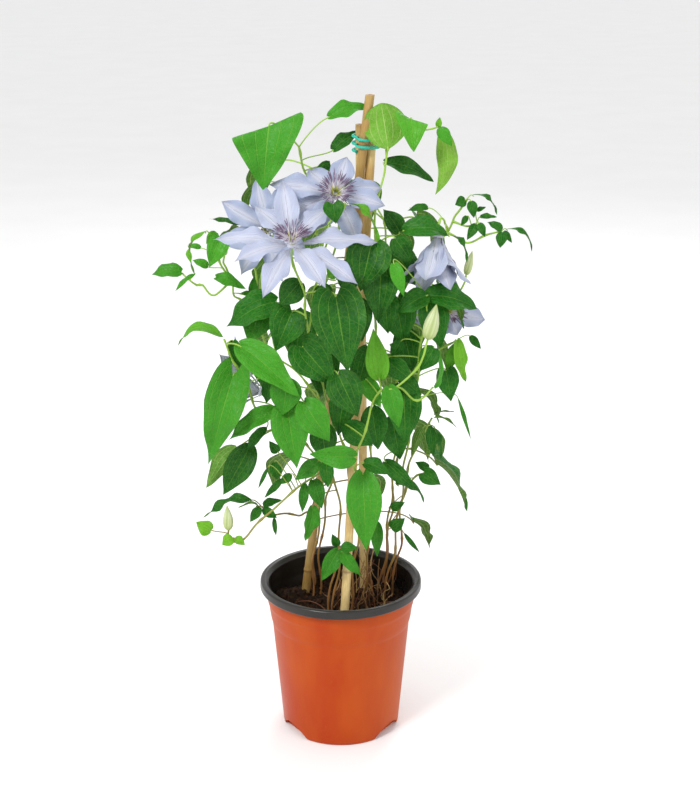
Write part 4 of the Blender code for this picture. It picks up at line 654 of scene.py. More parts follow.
# Forms: two exponents of the outline, the lobe beside the stalk and the slant of the margins.
FORMS = {
    "h": (0.36, 1.22, 0.2, 0.0), "o": (0.52, 1.15, 0.08, 0.0), "l": (0.7, 1.2, 0.0, 0.0),
    "s": (0.55, 1.1, 0.03, 0.0), "r": (0.75, 0.55, 0.0, 0.0), "d": (0.06, 0.86, 0.0, 0.24),
    "e": (0.08, 0.86, 0.0, -0.24),
}
LEAVES = {
    "shoot_top": [
        (388, 149, 381, 103, -16, -2, 40, "r", "A", 0.12), (396, 254, 420, 288, -36, -34, 28, "h"),
        (395, 238, 411, 262, -44, -44, 21, "o"), (411, 119, 414, 152, -20, -34, 29, "e", "F", 0.1),
        (386, 163, 434, 182, 0, 6, 17, "o", "UF", 0.14),
        (439, 128, 452, 146, -14, -18, 12, "s", "F", 0.05),
        (443, 134, 435, 195, -8, -16, 20, "o", "A", 0.0, 0.14),
        (438, 127, 440, 117, -12, -12, 6, "s", "F", 0.05), (371, 246, 360, 292, -80, -86, 41, "h"),
        (384, 292, 388, 334, -48, -50, 26, "o"), (381, 268, 378, 324, -66, -72, 34, "h"),
        (399, 232, 383, 209, -20, -14, 19, "o", "UF", 0.12),
    ],
    "shoot_top_left": [
        (269, 126, 263, 190, -30, -44, 62, "d"), (330, 117, 370, 107, -8, 0, 17, "o", "UF", 0.14),
        (333.5, 150, 361, 131, 6, 14, 15, "o", "UF", 0.12), (331, 168, 314, 187, -26, -28, 20, "h"),
    ],
    "shoot_centre": [
        (336, 297, 348, 373, -86, -94, 49, "h", "F", 0.07), (303, 347, 336, 386, -64, -70, 38, "h"),
        (292, 312, 275, 352, -60, -64, 34, "h"), (352, 262, 345, 296, -60, -66, 26, "o"),
        (334, 279, 326, 264, -74, -76, 7, "s", "F", 0.06),
        (337, 279, 344, 268, -74, -76, 7, "s", "F", 0.06), (338, 374, 358, 417, -66, -74, 34, "o"),
        (345, 203, 380, 247, -60, -54, 8, "l", "UR", 0.1, -0.2),
        (333, 204, 336, 224, -64, -68, 19, "h", "F", 0.06), (300, 282, 279, 306, -66, -66, 24, "o"),
        (320, 286, 330, 306, -68, -72, 18, "o"), (358, 300, 362, 342, -48, -52, 24, "o"),
        (324, 352, 320, 398, -40, -44, 32, "h"), (345, 388, 338, 436, -50, -54, 26, "o"),
    ],
    "shoot_bud": [
        (389, 387, 399, 428, -74, -80, 20, "o", "F", 0.07),
        (366, 380, 381, 408, -62, -68, 17, "o", "F", 0.07),
        (379, 377, 373, 328, -66, -62, 22, "o", "F", 0.06),
        (434, 386, 441, 349, -58, -52, 13, "o", "R", 0.05),
        (354, 457, 309, 454, -84, -88, 22, "o", "F", 0.1),
        (363, 474, 366, 551, -68, -84, 34, "o", "F", 0.06),
        (377, 522, 377, 557, -66, -70, 12, "s", "F", 0.06),
        (364, 463, 390, 474, -62, -60, 16, "o", "UF", 0.12),
        (346, 425, 373, 446, -60, -60, 24, "o", "F", 0.06), (368, 348, 356, 394, -50, -54, 26, "o"),
        (372, 408, 378, 450, -48, -50, 26, "o"),
    ],
    "shoot_centre_left": [
        (276, 302, 226, 327, -40, -36, 31, "o", "UF", 0.12),
        (262, 308, 248, 345, -54, -62, 32, "h"), (288, 380, 282, 416, -72, -78, 30, "o"),
        (288, 412, 297, 469, -76, -84, 35, "h", "F", 0.07), (304, 402, 330, 442, -78, -86, 30, "o"),
        (318, 461, 295, 480, -64, -64, 16, "o"), (305, 482, 302, 513, -46, -48, 10, "l", "F", 0.06),
        (314, 480, 322, 509, -56, -60, 16, "o"), (312, 507, 305, 541, -52, -58, 17, "o", "FR"),
        (326, 462, 328, 488, -64, -66, 14, "o"), (300, 318, 296, 362, -30, -34, 34, "h"),
        (322, 424, 326, 462, -48, -50, 26, "o"), (268, 352, 262, 388, -30, -30, 26, "o"),
    ],
    "shoot_left_mid": [
        (223, 337, 178, 346, -50, -42, 17, "l", "U", 0.3),
        (241, 347, 300, 397, -66, -90, 31, "o", "UF", 0.07),
        (233, 376, 208, 465, -62, -64, 38, "h", "F", 0.07),
        (273, 410, 228, 441, -62, -62, 18, "o", "UF", 0.12),
        (250, 447, 223, 495, -38, -42, 28, "o"), (236, 450, 206, 488, -20, -16, 24, "o", "A"),
        (267, 427, 246, 452, -48, -48, 11, "l", "FL", 0.1),
        (233, 341, 240, 372, -42, -40, 14, "o", "F", 0.06),
        (273, 378, 266, 405, -50, -50, 15, "o", "FL", 0.06),
    ],
    "shoot_left_high": [
        (206, 231, 195, 275, -40, -42, 8, "l", "L", 0.24),
        (216, 232, 206, 244, -40, -42, 9, "s", "F", 0.06),
        (221, 240, 209, 268, -42, -46, 20, "h", "F", 0.06),
        (208, 267, 192, 260, -20, -20, 9, "s", "UF", 0.1),
        (201, 248, 187, 246, -16, -14, 6, "s", "UF", 0.1),
        (181.5, 272, 151, 275, -20, -14, 15, "o", "UF", 0.15),
        (216, 277.5, 246, 289, -20, -24, 13, "o", "UF", 0.12),
        (195, 274, 174, 293, -26, -28, 5, "l", "UF", 0.15),
        (247, 231, 219, 237, 22, 24, 15, "o", "UA", 0.1),
        (240, 225, 209, 219, 26, 28, 6, "l", "UF", 0.12),
        (249, 230, 263, 226, 24, 24, 9, "s", "U", 0.1),
        (252, 295, 240, 293, -4, -6, 6, "s", "UF", 0.1),
        (253, 294, 254, 276, 0, 0, 9, "s", "F", 0.06),
        (252, 500, 203, 518, -14, -10, 13, "l", "U", 0.14),
        (258, 506, 238, 508, -16, -18, 13, "s", "UA", 0.12),
        (260, 507, 250, 522, -20, -22, 10, "s", "F", 0.06),
        (263, 505, 282, 500, -16, -16, 9, "s", "UF", 0.1),
        (263, 508, 277, 518, -18, -18, 10, "s", "F", 0.1),
        (274, 517, 276, 536, -14, -14, 5, "l", "F", 0.1),
    ],
    "shoot_left_low": [
        (211, 530, 196, 522, -52, -52, 16, "o"), (233, 538, 222, 545, -54, -56, 13, "s", "UF", 0.1),
        (235, 538, 245, 545, -54, -56, 9, "s", "UF", 0.1), (283, 478, 264, 498, -44, -42, 7, "l"),
        (291, 474, 280, 484, -46, -46, 9, "s"), (275, 462, 277, 480, -40, -40, 12, "s"),
        (278, 452, 269, 441, -46, -48, 10, "s"), (268, 467, 258, 489, -38, -38, 4, "l", "F", 0.1),
    ],
    "shoot_front_low": [
        (338, 550, 321, 581, -46, -50, 17, "o"), (342, 552, 361, 576, -48, -50, 13, "o"),
        (341, 548, 358, 548, -44, -44, 11, "s", "UF", 0.1), (338, 546, 332, 534, -36, -34, 9, "s"),
    ],
    "shoot_right_high": [
        (404, 231, 448, 236, -34, -26, 22, "o", "UF", 0.26),
        (448, 235, 467, 263, -14, -20, 8, "l", "UR", 0.22),
        (428, 208, 407, 211, -6, -6, 8, "s", "UF", 0.15),
        (465, 200, 455, 205, -2, -3, 11, "o", "F", 0.06),
        (471, 201, 474, 218, -2, -6, 10, "s", "F", 0.06),
        (477, 211, 486, 207, 0, 0, 5, "s", "UF", 0.06),
        (472, 195, 497, 215, 2, 0, 7, "l", "UR", 0.24),
        (467, 216, 461, 226, -4, -6, 6, "s", "F", 0.06),
        (480, 217, 497, 217, -2, -4, 6, "s", "UF", 0.06),
        (476, 224, 467, 240, -6, -10, 9, "s", "F", 0.06),
        (479, 223, 485, 237, -6, -8, 8, "s", "F", 0.06),
        (502, 230, 487, 222, -4, -2, 9, "s", "UF", 0.06),
        (502, 232, 500, 248, -6, -8, 11, "s", "F", 0.06),
        (504, 231, 512, 243, -6, -8, 6, "s", "F", 0.06),
        (506, 229, 532, 252, -2, 0, 7, "l", "UR", 0.26),
    ],
    "shoot_right_mid": [
        (427, 296, 477, 309, -44, -32, 27, "o", "UF", 0.15),
        (394, 264, 404, 297, -50, -56, 13, "o", "F", 0.06),
        (426, 296, 396, 314, -48, -54, 22, "o", "UF", 0.1), (429, 299, 441, 348, -50, -54, 29, "o"),
        (457, 342, 446, 373, -16, -18, 13, "l"),
        (457, 341, 466, 382, -18, -22, 15, "o", "FR", 0.1, 0.12),
        (434, 348, 420, 371, -40, -44, 20, "o"), (446, 371, 451, 402, -24, -26, 22, "h"),
        (458, 398, 471, 440, -24, -24, 4, "l"), (470, 336, 481, 349, -8, -10, 8, "s"),
        (388, 361, 412, 381, -56, -56, 20, "o"), (402, 378, 421, 395, -46, -48, 17, "o"),
        (404, 392, 405, 446, -54, -60, 33, "h"), (401, 341, 391, 358, -40, -42, 13, "s"),
        (396, 300, 404, 346, -16, -18, 34, "h"), (404, 330, 412, 372, -20, -22, 28, "o"),
        (392, 418, 400, 460, -30, -32, 28, "o"),
    ],
    "shoot_right_low": [
        (386, 462, 416, 490, -44, -44, 16, "o"), (397, 485, 424, 503, -26, -22, 11, "o", "U", 0.24),
        (424, 473, 441, 485, -12, -14, 17, "h"), (428, 470, 415, 462, -14, -14, 10, "s", "UF"),
        (430, 425, 433, 457, -20, -22, 11, "l", "F", 0.06),
        (435, 428, 441, 459, -12, -10, 6, "l", "FR"),
        (424, 426, 411, 456, -8, -10, 11, "l", "A", 0.06),
        (434, 415, 455, 412, -4, 0, 7, "s", "UA"), (434, 418, 457, 428, -6, -4, 9, "s", "UA", 0.12),
        (391, 508, 405, 502, -18, -20, 10, "s"), (391, 528, 405, 518, -16, -18, 14, "s"),
        (404, 533, 420, 553, -14, -16, 5, "l", "F", 0.12),
    ],
}

# %% Leaves at the sides and back
GOLDEN_ANGLE = math.radians(137.508)
AROUND = {
    "shoot_back_left": (14, (0.185, 0.505), (118, 248)),
    "shoot_back_right": (14, (0.255, 0.515), (92, 226)),
}
AROUND_CENTRE = (0.006, 0.006)
AROUND_REACH = (0.068, 0.108)
AROUND_LENGTH_MM = (36, 56)
AROUND_DROOP = math.radians(58)
SHIFTS_MM = (0, -4, 4, -8, 8, -12, 12, -17, 17, -23, 23, -30, 30)
TIP_SHIFTS_MM = (0, -8, 8, -16, 16)
SETTLED_WITHIN = 0.00005


def seen_leaf(across, down, tip_across, tip_down, behind, tip_behind, width, form,
              facing="F", arch=0.08, bow=0):
    """A leaf that the front shows, as a function of its shifts along the line of sight."""

    def placed(shift, tip_shift):
        base = seen_at(across, down, behind + shift)
        tip = seen_at(tip_across, tip_down, tip_behind + shift + tip_shift)
        return (base, tip, width * MM, np.array(FACES[facing]), arch, bow), form

    return placed


def around_leaf(name, number):
    """A leaf at the side or back: round its shoot by the golden angle, drooping outwards."""
    count, (low, high), (first, last) = AROUND[name]
    share = (number * GOLDEN_ANGLE / math.tau) % 1
    rng = np.random.default_rng(100 * len(name) + number)
    height = low + (high - low) * number / (count - 1)
    out = rng.uniform(*AROUND_REACH)
    length = rng.uniform(*AROUND_LENGTH_MM) * MM

    def placed(shift, tip_shift):
        angle = math.radians(first + (last - first) * share + 1.5 * shift)
        outward = np.array((math.sin(angle), -math.cos(angle), 0))
        droop = AROUND_DROOP + math.radians(tip_shift)
        base = np.array((*AROUND_CENTRE, height)) + outward * out
        tip = base + length * (math.cos(droop) * outward - math.sin(droop) * np.array((0, 0, 1)))
        return (base, tip, 0.72 * length, outward + (0, 0, 0.8), 0.08, 0.0), "h"

    return placed


# %% Find the place that each solid leaf took
def corner_tree(name):
    """A search tree of a solid node's corners."""
    vertices = frame["nodes"][name].data.vertices
    tree = KDTree(len(vertices))
    for number, vertex in enumerate(vertices):
        tree.insert(vertex.co, number)
    tree.balance()
    return tree


def settled(tree, placed):
    """The leaf whose tip is a corner of its solid node, or None."""
    for tip_shift in TIP_SHIFTS_MM:
        for shift in SHIFTS_MM:
            leaf, form = placed(shift, tip_shift)
            if tree.find(leaf[1])[2] < SETTLED_WITHIN:
                return leaf, form
    return None


# How light each leaf is, in the rows' order, from 0 to 1: partly its own colour, from old and dark
# to young and yellow green, and partly painted light and shade, lighter where a leaf is lit and darker
# where it lies in shade.
LEAF_TONES_WITH_PAINTED_SHADE = {
    "shoot_top": (0.75, 0.15, 0.15, 0.65, 0.12, 0.6, 0.9, 0.8, 0.12, 0.25, 0.15, 0.1),
    "shoot_top_left": (0.5, 0.55, 0.2, 0.1),
    "shoot_centre": (0.16, 0.2, 0.25, 0.1, 0.7, 0.7, 0.14, 0.75, 0.2, 0.15, 0.15, 0.2, 0.15, 0.2),
    "shoot_bud": (0.5, 0.6, 0.75, 0.6, 0.5, 0.5, 0.4, 0.3, 0.25, 0.2, 0.25),
    "shoot_centre_left": (0.3, 0.4, 0.45, 0.5, 0.5, 0.4, 0.35, 0.35, 0.45, 0.3, 0.25, 0.2, 0.3),
    "shoot_left_mid": (0.72, 0.55, 0.5, 0.5, 0.12, 0.4, 0.3, 0.3, 0.3),
    "shoot_left_high": (0.75, 0.65, 0.6, 0.6, 0.6, 0.5, 0.6, 0.6, 0.1, 0.1, 0.2, 0.5, 0.5),
    "shoot_left_low": (0.85, 0.9, 0.9),
    "shoot_front_low": (0.4, 0.45, 0.35),
    "shoot_right_high": (0.3,),
    "shoot_right_mid": (0.3, 0.6, 0.25, 0.3, 0.7, 0.85, 0.3, 0.3, 0.45),
    "shoot_right_low": (0.25,),
}
PLAIN_TONE = 0.28
FOLIAGE = {}
for name in STEMS:
    tree = corner_tree(name)
    wishes = [seen_leaf(*row) for row in LEAVES.get(name, ())]
    if name in AROUND:
        wishes += [around_leaf(name, number) for number in range(AROUND[name][0])]
    tones_with_painted_shade = [*LEAF_TONES_WITH_PAINTED_SHADE.get(name, ()), *[PLAIN_TONE] * len(wishes)]
    places = [settled(tree, wish) for wish in wishes]
    FOLIAGE[name] = [(*place, tone) for place, tone in zip(places, tones_with_painted_shade) if place]
print("leaves found:", sum(len(leaves) for leaves in FOLIAGE.values()))


# %% A blade as a shell
def blade_shell(leaf, form, grid, thickness, fold, wave, ripple, tone, seed):
    """A leaf or petal blade, as points on a grid of stations t along it and angles a round it.

    Across: half width times cos a. Up: the fold lifts the sides by its sine and lets the margins
    roll back, a sine along the midrib bends the tip back, a slow wave tips the blade to one side
    and the other, a short ripple lifts and drops the margins by turns, and plus or minus half the
    thickness times sin a gives the upper and the lower side.
    """
    base, tip, width, facing, arch, bow = leaf
    grow, taper, lobe, slant = form
    around, along = grid
    rng = np.random.default_rng(seed)
    t = (1 - np.cos(np.linspace(0, math.pi, along + 2)[1:-1]))[:, None] / 2
    a = np.arange(around)[None, :] * math.tau / around
    u = np.cos(a)
    way = tip - base
    length = np.linalg.norm(way)
    ahead = way / length
    across = unit(np.cross(ahead, facing))
    up = np.cross(across, ahead)
    widest = grow / (grow + taper)
    half = 0.5 * width * t**grow * (1 - t) ** taper / (widest**grow * (1 - widest) ** taper)
    swell = 4 * t * (1 - t) * length
    forward = (t * length - lobe * length * np.clip(1 - t / 0.25, 0, 1) * np.abs(u) ** 1.6
               + slant * length * u * (1 - t) ** 2)
    phase = rng.uniform(0, math.tau)
    edge = np.abs(u) ** 2 * np.sin(math.tau * 2.4 * t + phase + 1.1 * np.sign(u)) * (half / width)
    bend = rng.uniform(0.2, 1) * wave * length * np.sin(math.tau * t)
    lift = (arch * swell + bend + half * math.sin(fold) * (1.35 * np.abs(u) ** 1.2 - 0.5 * u**4)
            + wave * length * u * np.sin(2 * math.tau * t) + ripple * length * edge
            + 0.5 * thickness * np.sin(a) * np.sqrt(np.clip(2 * half / width, 0, 1)))
    aside = half * math.cos(fold) * u + bow * swell
    points = base + forward[..., None] * ahead + aside[..., None] * across + lift[..., None] * up
    flat = np.broadcast_to(u, forward.shape)
    uv = np.stack((0.5 + 0.5 * flat, np.broadcast_to(t, forward.shape)), axis=-1)
    millimetres = np.stack((half * flat, forward), axis=-1) / MM + rng.uniform(0, 400)
    growth = np.ones((*forward.shape, 4)) * rng.uniform(0, 1)
    growth[..., 0] = 0.5 + 0.5 * np.clip(3 * np.sin(a), -1, 1)
    # Green: the tone; for a leaf its own colour with painted light and shade, for a petal its painted
    # shade.
    growth[..., 1] = tone
    return shell(points, base, tip, uv, millimetres, growth)


def stalk_shell(root, leaf, radius):
    """A leaf stalk: a cubic curve that leaves the stem towards the leaf and comes in along it."""
    base, tip = leaf[:2]
    span = np.linalg.norm(base - root)
    ahead = unit(tip - base)
    t = np.linspace(0, 1, 4 + int(span / 0.004))[:, None]
    leave = 0.7 * (base - root) + (0, 0, 0.25 * span)
    path = ((2 * t**3 - 3 * t**2 + 1) * root + (t**3 - 2 * t**2 + t) * leave
            + (3 * t**2 - 2 * t**3) * base + (t**3 - t**2) * ahead * span * 0.8)
    return tube(np.vstack((path, base + ahead * 0.002)), radius, 8)


STEM_RADII = (0.0010, 0.0009)
BRANCH_RADII = (0.0010, 0.0008)
SHORTEST_STALK = 0.004


def stem_shells(name):
    """A shoot's stem and branches, thinning upwards, and its leaf stalks.

    A stalk starts where the distance to the leaf, plus 0.6 of any height above it, is least.
    """
    paths = PATHS[name]
    everywhere = np.vstack(paths)
    shells = [tube(paths[0], jointed(paths[0], STEM_RADII), 10)]
    shells += [tube(path, jointed(path, BRANCH_RADII), 8) for path in paths[1:]]
    for leaf, _, _ in FOLIAGE[name]:
        away = np.linalg.norm(everywhere - leaf[0], axis=1)
        above = np.clip(everywhere[:, 2] - leaf[0][2], 0, None)
        root = everywhere[np.argmin(away + 0.6 * above)]
        if np.linalg.norm(root - leaf[0]) > SHORTEST_STALK:
            shells.append(stalk_shell(root, leaf, min(0.0008, 0.0004 + 0.01 * leaf[2])))
    return shells


# %% Make the leafy stems
LEAF_SHAPE = {"thickness": 0.0006, "fold": math.radians(24), "wave": 0.036, "ripple": 0.06}
LARGE_LEAF = 0.03
for number, name in enumerate(STEMS):
    blades = []
    for i, (leaf, form, tone) in enumerate(FOLIAGE[name]):
        grid = (22, 22) if np.linalg.norm(leaf[1] - leaf[0]) > LARGE_LEAF else (14, 12)
        blades.append(blade_shell(leaf, FORMS[form], grid, tone=tone, seed=1000 * number + i,
                                  **LEAF_SHAPE))
    add_piece(name + "_leaves", blades, LEAF, [name])
    add_piece(name + "_stems", stem_shells(name), STEM, [name])

# %% [markdown]
# ## Blooms
# A bloom has seven to nine petals in two layers round a small heart, and a crown of stamens that
# spreads outwards round a tuft of styles. The petals use the leaf's formula with a narrower
# foot; the stamens are computed together, as one array of threads by rings by sides.

# %% Petals
PETALS = 8
PETAL_FORM = (1.5, 1.3, 0.0, 0.0)
PETAL_LAYER_RISE = 5.5
HEART_RADIUS = 0.0054
HEART_PROFILE = (0.3, 0.62, 0.8, 0.9, 0.8, 0.4)
PETAL_FEET = (0.78, 0.42)  # how deep in the heart the two layers start, as shares of its height
PETAL_SHAPE = {"thickness": 0.0007, "fold": math.radians(17), "wave": 0.014, "ripple": 0.11}
STAMEN_LEAN = {"bloom_front": (0.0, 0.3, 0.25)}  # its stamens turn up, to the light


def bloom_frame(facing):
    """Three directions: where the bloom faces, level across it, and up across it."""
    face = unit(np.array(facing, float))
    first = unit(np.cross((0.0, 0.0, 1.0), face))
    return face, first, np.cross(face, first)


def petal_shells(name, painted_shade):
    """A bloom's petals, each out from the heart at its own angle and lifted by the cup, and the heart.

    A petal's tip is its base plus its reach times cos(rise) outwards and sin(rise) along the face.
    """
    (across, down), behind, facing, length, width, turn, cup = BLOOMS[name]
    centre = seen_at(across, down, behind)
    face, first, second = bloom_frame(facing)
    rng = np.random.default_rng(len(name))
    shells = []
    even = [(turn + 360 * i / PETALS, rng.uniform(0.94, 1.02), 0) for i in range(PETALS)]
    for i, (degrees, share, forward) in enumerate(UNEVEN_PETALS.get(name, even)):
        angle = math.radians(degrees)
        layer = PETAL_LAYER_RISE if i % 2 else -PETAL_LAYER_RISE
        rise = math.radians(cup + forward + layer + rng.uniform(-2, 2))
        reach = length * MM * share
        out = math.cos(angle) * first + math.sin(angle) * second
        base = centre + out * 0.5 * HEART_RADIUS - face * HEART_HEIGHT * PETAL_FEET[i % 2]
        tip = base + reach * (math.cos(rise) * out + math.sin(rise) * face)
        leaf = (base, tip, width * MM, face, 0.06, rng.uniform(-0.02, 0.02))
        shells.append(blade_shell(leaf, PETAL_FORM, (26, 30), tone=painted_shade,
                                  seed=50 * len(name) + i, **PETAL_SHAPE))
    heart = centre + face * np.linspace(-HEART_HEIGHT, 0.0005, 6)[:, None]
    shells.append(tube(heart, HEART_RADIUS * np.array(HEART_PROFILE), 16))
    return shells


# %% Stamens
STAMEN_RADII_MM = (0.26, 0.22, 0.20, 0.20, 0.24, 0.36, 0.40, 0.34, 0.15)
STYLE_RADII_MM = (0.7, 0.6, 0.5, 0.38, 0.25)
GOLDEN_TURN = 2.39996
CORE_RADIUS = 0.0022


def thread_shells(foot, frame_axes, count, lean, reach, radii, tone, seed):
    """Curved threads from a core: each leaves along the face and bends outwards to its lean.

    A thread's point at s is the foot, plus its reach times the mean of two directions: the
    face, weighted 1 - s, and its outward lean, weighted s. radii is its width profile.
    """
    face, first, second = frame_axes
    rng = np.random.default_rng(seed)
    turn = np.arange(count) * GOLDEN_TURN + rng.uniform(-0.2, 0.2, count)
    tilt = np.radians(rng.uniform(*lean, count))
    size = rng.uniform(*reach, count)
    outward = np.cos(turn)[:, None] * first + np.sin(turn)[:, None] * second
    final = np.cos(tilt)[:, None] * face + np.sin(tilt)[:, None] * outward
    s = np.linspace(0, 1, len(radii))[None, :, None]
    start = foot + outward * CORE_RADIUS
    blend = 0.45 * s * (1 - s) * face + s * final[:, None]
    paths = start[:, None] + size[:, None, None] * blend
    return [tube(path, np.array(radii) * MM, 5, (tone, 0.0)) for path in paths]


def stamen_shells(name):
    """A bloom's crown of stamens, wide in an open bloom and close in a young one, and its styles."""
    (across, down), behind, facing, _, _, _, cup = BLOOMS[name]
    centre = seen_at(across, down, behind)
    axes = bloom_frame(np.array(facing) + STAMEN_LEAN.get(name, 0))
    foot = centre - axes[0] * 0.0005
    cupped = cup > 30
    young = name == "bloom_behind"
    spread = (5, 34) if cupped else (0, 20) if young else (24, 66)
    reach = (0.007, 0.009) if young else (0.0135, 0.0205)
    count = 30 if cupped or young else 110
    threads = thread_shells(foot, axes, count, spread, reach, STAMEN_RADII_MM, 0.0, len(name))
    styles = thread_shells(foot, axes, 16, (0, 24), (0.006, 0.009), STYLE_RADII_MM, 1.0, 3)
    return threads + styles


# %% Make the blooms
# How much painted shade each bloom's petals take, from 0, lit, towards 1, deep in shade.
PAINTED_PETAL_SHADE = {"bloom_front": 0.1, "bloom_upper": 0.45, "bloom_behind": 0.55, "bloom_right": 0.2,
          "bloom_side": 0.3, "bloom_left": 0.0}
for name, painted_shade in PAINTED_PETAL_SHADE.items():
    add_piece(name + "_fine_petals", petal_shells(name, painted_shade), PETAL, [name + "_petals"])
    add_piece(name + "_fine_stamens", stamen_shells(name), STAMEN, [name + "_stamens"])


# %% Buds
def bud_shell(name):
    """A pointed bud: circles from foot to tip, pinched a little where its four petals meet.

    The radius at height t and angle a is a rounded profile of t times 1 - 0.08 cos(2a) to the
    8th. Between those four seams run finer ribs, cos(6a) to the 6th, which only change the colour.
    """
    foot, tip, behind, width = BUDS[name]
    start, end = seen_at(*foot, behind), seen_at(*tip, behind)
    ahead = unit(end - start)
    side = unit(np.cross(ahead, (0.3, 0.8, 0.5)))
    other = np.cross(ahead, side)
    t = np.linspace(0.01, 0.995, 26)[:, None]
    a = np.arange(48)[None, :] * math.tau / 48
    profile = np.interp(t, (0, 0.05, 0.15, 0.3, 0.5, 0.72, 0.9, 1.0),
                        (0.2, 0.6, 0.88, 1.0, 0.94, 0.63, 0.27, 0.05))
    seam = np.cos(2 * a) ** 8
    radius = 0.5 * width * MM * profile * (1 - 0.08 * seam)
    swirl = a + 0.5 * t
    rings = (start + t[..., None] * (end - start)
             + radius[..., None] * (np.cos(swirl)[..., None] * side + np.sin(swirl)[..., None] * other))
    growth = np.ones((*radius.shape, 4))
    growth[..., 0] = np.broadcast_to(t, radius.shape)
    growth[..., 2] = (0.75 * seam + 0.5 * np.cos(6 * a) ** 6).clip(0, 0.8) * np.ones_like(t)
    return shell(rings, start, end, growth=growth)


for name in BUDS:
    add_piece(name + "_fine", [bud_shell(name)], BUD, [name])

# %% [markdown]
# ## Canes and twine
# The canes are bamboo: straight, with a thin raised ring at each joint, a hollow top and long
# fibres under a dull waxy skin. The twine is a thin plastic-coated one, wound about two and a
# half times round all three.

# %% Bamboo material
def bamboo_material():
    made, tree, shader = new_material("bamboo, dry and waxy", 0.5)
    where = add_node(tree, "TexCoord").outputs["Object"]
    longways = add_node(tree, "Mapping", {"Vector": where, "Scale": (1.0, 1.0, 0.02)})
    fibres = add_node(tree, "TexNoise", {"Vector": longways, "Scale": 1100.0, "Detail": 4.0})
    blotches = add_node(tree, "TexNoise", {"Vector": where, "Scale": 28.0, "Detail": 4.0})
    skin = add_node(tree, "ValToRGB", [blotches],
                    stops=((0.3, "B89456"), (0.5, "D4B97C"), (0.68, "DCC88E")))
    lines = add_node(tree, "MapRange", (fibres, 0.4, 0.75, 0.0, 0.4))
    streaked = add_node(tree, "Mix", {0: lines, 6: skin, 7: linear("8A5A2A")}, **COLOURS)
    parts = growth_parts(tree)
    tanned = add_node(tree, "Mix", {0: parts[2], 6: streaked, 7: linear("8A6420")}, **COLOURS)
    # Darker brown at the joints, which is their own colour, and inside the hollow top, where it is
    # painted shade.
    jointed = add_node(tree, "Mix", {0: parts[1], 6: tanned, 7: linear("7A5128")}, **COLOURS)
    bump = add_node(tree, "Bump", {"Strength": 0.35, "Distance": 0.0002, "Height": fibres})
    feed(shader, {"Base Color": jointed, "Normal": bump})
    return made


BAMBOO = bamboo_material()
print(BAMBOO.name, "has", len(BAMBOO.node_tree.nodes), "nodes")

# %% Canes
CANE_RADIUS = 0.0041
CANE_FOOT = 0.022
CANE_JOINT_SPACING = 0.135
CANE_JOINT_SWELL = 0.0006
CANE_JOINT_WIDTH = 0.0012
CANE_STEP = 0.006
CANE_SIDES = 24
CANE_PITH_RADIUS = 0.0014
CANE_PITH_DEPTH = 0.012
TIE_HEIGHT = 0.5486
CANES = {
    "cane_left": ((-0.0340, 0.0250), (0.0202, -0.0038), 0.5900),
    "cane_front": ((0.0030, -0.0450), (0.0268, 0.0034), 0.5680),
    "cane_back": ((0.0220, 0.0440), (0.0172, 0.0054), 0.5640),
}


def cane_axis(name, heights):
    """Where a cane's middle is at these heights, on the line from its foot to its knot."""
    foot, knot, _ = CANES[name]
    foot = np.array((*foot, SOIL_TOP))
    knot = np.array((*knot, TIE_HEIGHT))
    return foot + (knot - foot) * (heights[:, None] - SOIL_TOP) / (TIE_HEIGHT - SOIL_TOP)


def cane_shell(name, number):
    """A cane: the cane's radius at each height, plus a bell-shaped swelling at each joint."""
    top = CANES[name][2]
    bottom = SOIL_TOP - CANE_FOOT
    first = bottom + CANE_JOINT_SPACING * (0.35 + 0.2 * number)
    joints = np.arange(first, top - CANE_PITH_DEPTH, CANE_JOINT_SPACING)
    near_joints = joints[:, None] + np.linspace(-0.004, 0.004, 9)
    heights = np.unique(np.append(np.arange(bottom, top, CANE_STEP), near_joints))
    bells = np.exp(-((heights[:, None] - joints) / CANE_JOINT_WIDTH) ** 2).sum(axis=1)
    radii = CANE_RADIUS - 0.00015 + CANE_JOINT_SWELL * bells
    heights = np.append(heights, (top, top, top - CANE_PITH_DEPTH))
    radii = np.append(radii, (0.93 * CANE_RADIUS, CANE_PITH_RADIUS, CANE_PITH_RADIUS))
    turns = np.arange(CANE_SIDES) * math.tau / CANE_SIDES
    middle = cane_axis(name, heights)
    circle = np.stack((np.cos(turns), np.sin(turns), 0 * turns), axis=-1)
    rings = middle[:, None] + radii[:, None, None] * circle
    growth = np.zeros((len(heights), CANE_SIDES, 4))
    growth[:-3, :, 1] = 0.6 * bells[:, None]
    growth[..., 2] = 0.6 if name == "cane_left" else 0.0
    # The hollow top and the hole in it take the darker brown: painted shade inside the hole.
    growth[-2:, :, 1] = 0.7
    return shell(rings, middle[0], middle[-1], growth=growth)


for number, name in enumerate(CANES):
    add_piece(name + "_fine", [cane_shell(name, number)], BAMBOO, [name], sharp=40)

# %% Twine
TIE_RADIUS = 0.0012
TIE_TURNS = 2.4
TIE_PITCH = 0.0062
TIE_START = 0.9


def twine_material():
    made, tree, shader = new_material("twine, plastic coated", 0.45)
    where = add_node(tree, "TexCoord").outputs["Object"]
    laid = add_node(tree, "TexWave", {"Vector": where, "Scale": 700.0, "Distortion": 1.5},
                    bands_direction="DIAGONAL")
    bump = add_node(tree, "Bump", {"Strength": 0.5, "Distance": 0.0003, "Height": laid})
    tint = add_node(tree, "ValToRGB", [laid], stops=((0.0, "149A84"), (1.0, "32D2B6")))
    feed(shader, {"Base Color": tint, "Normal": bump})
    return made


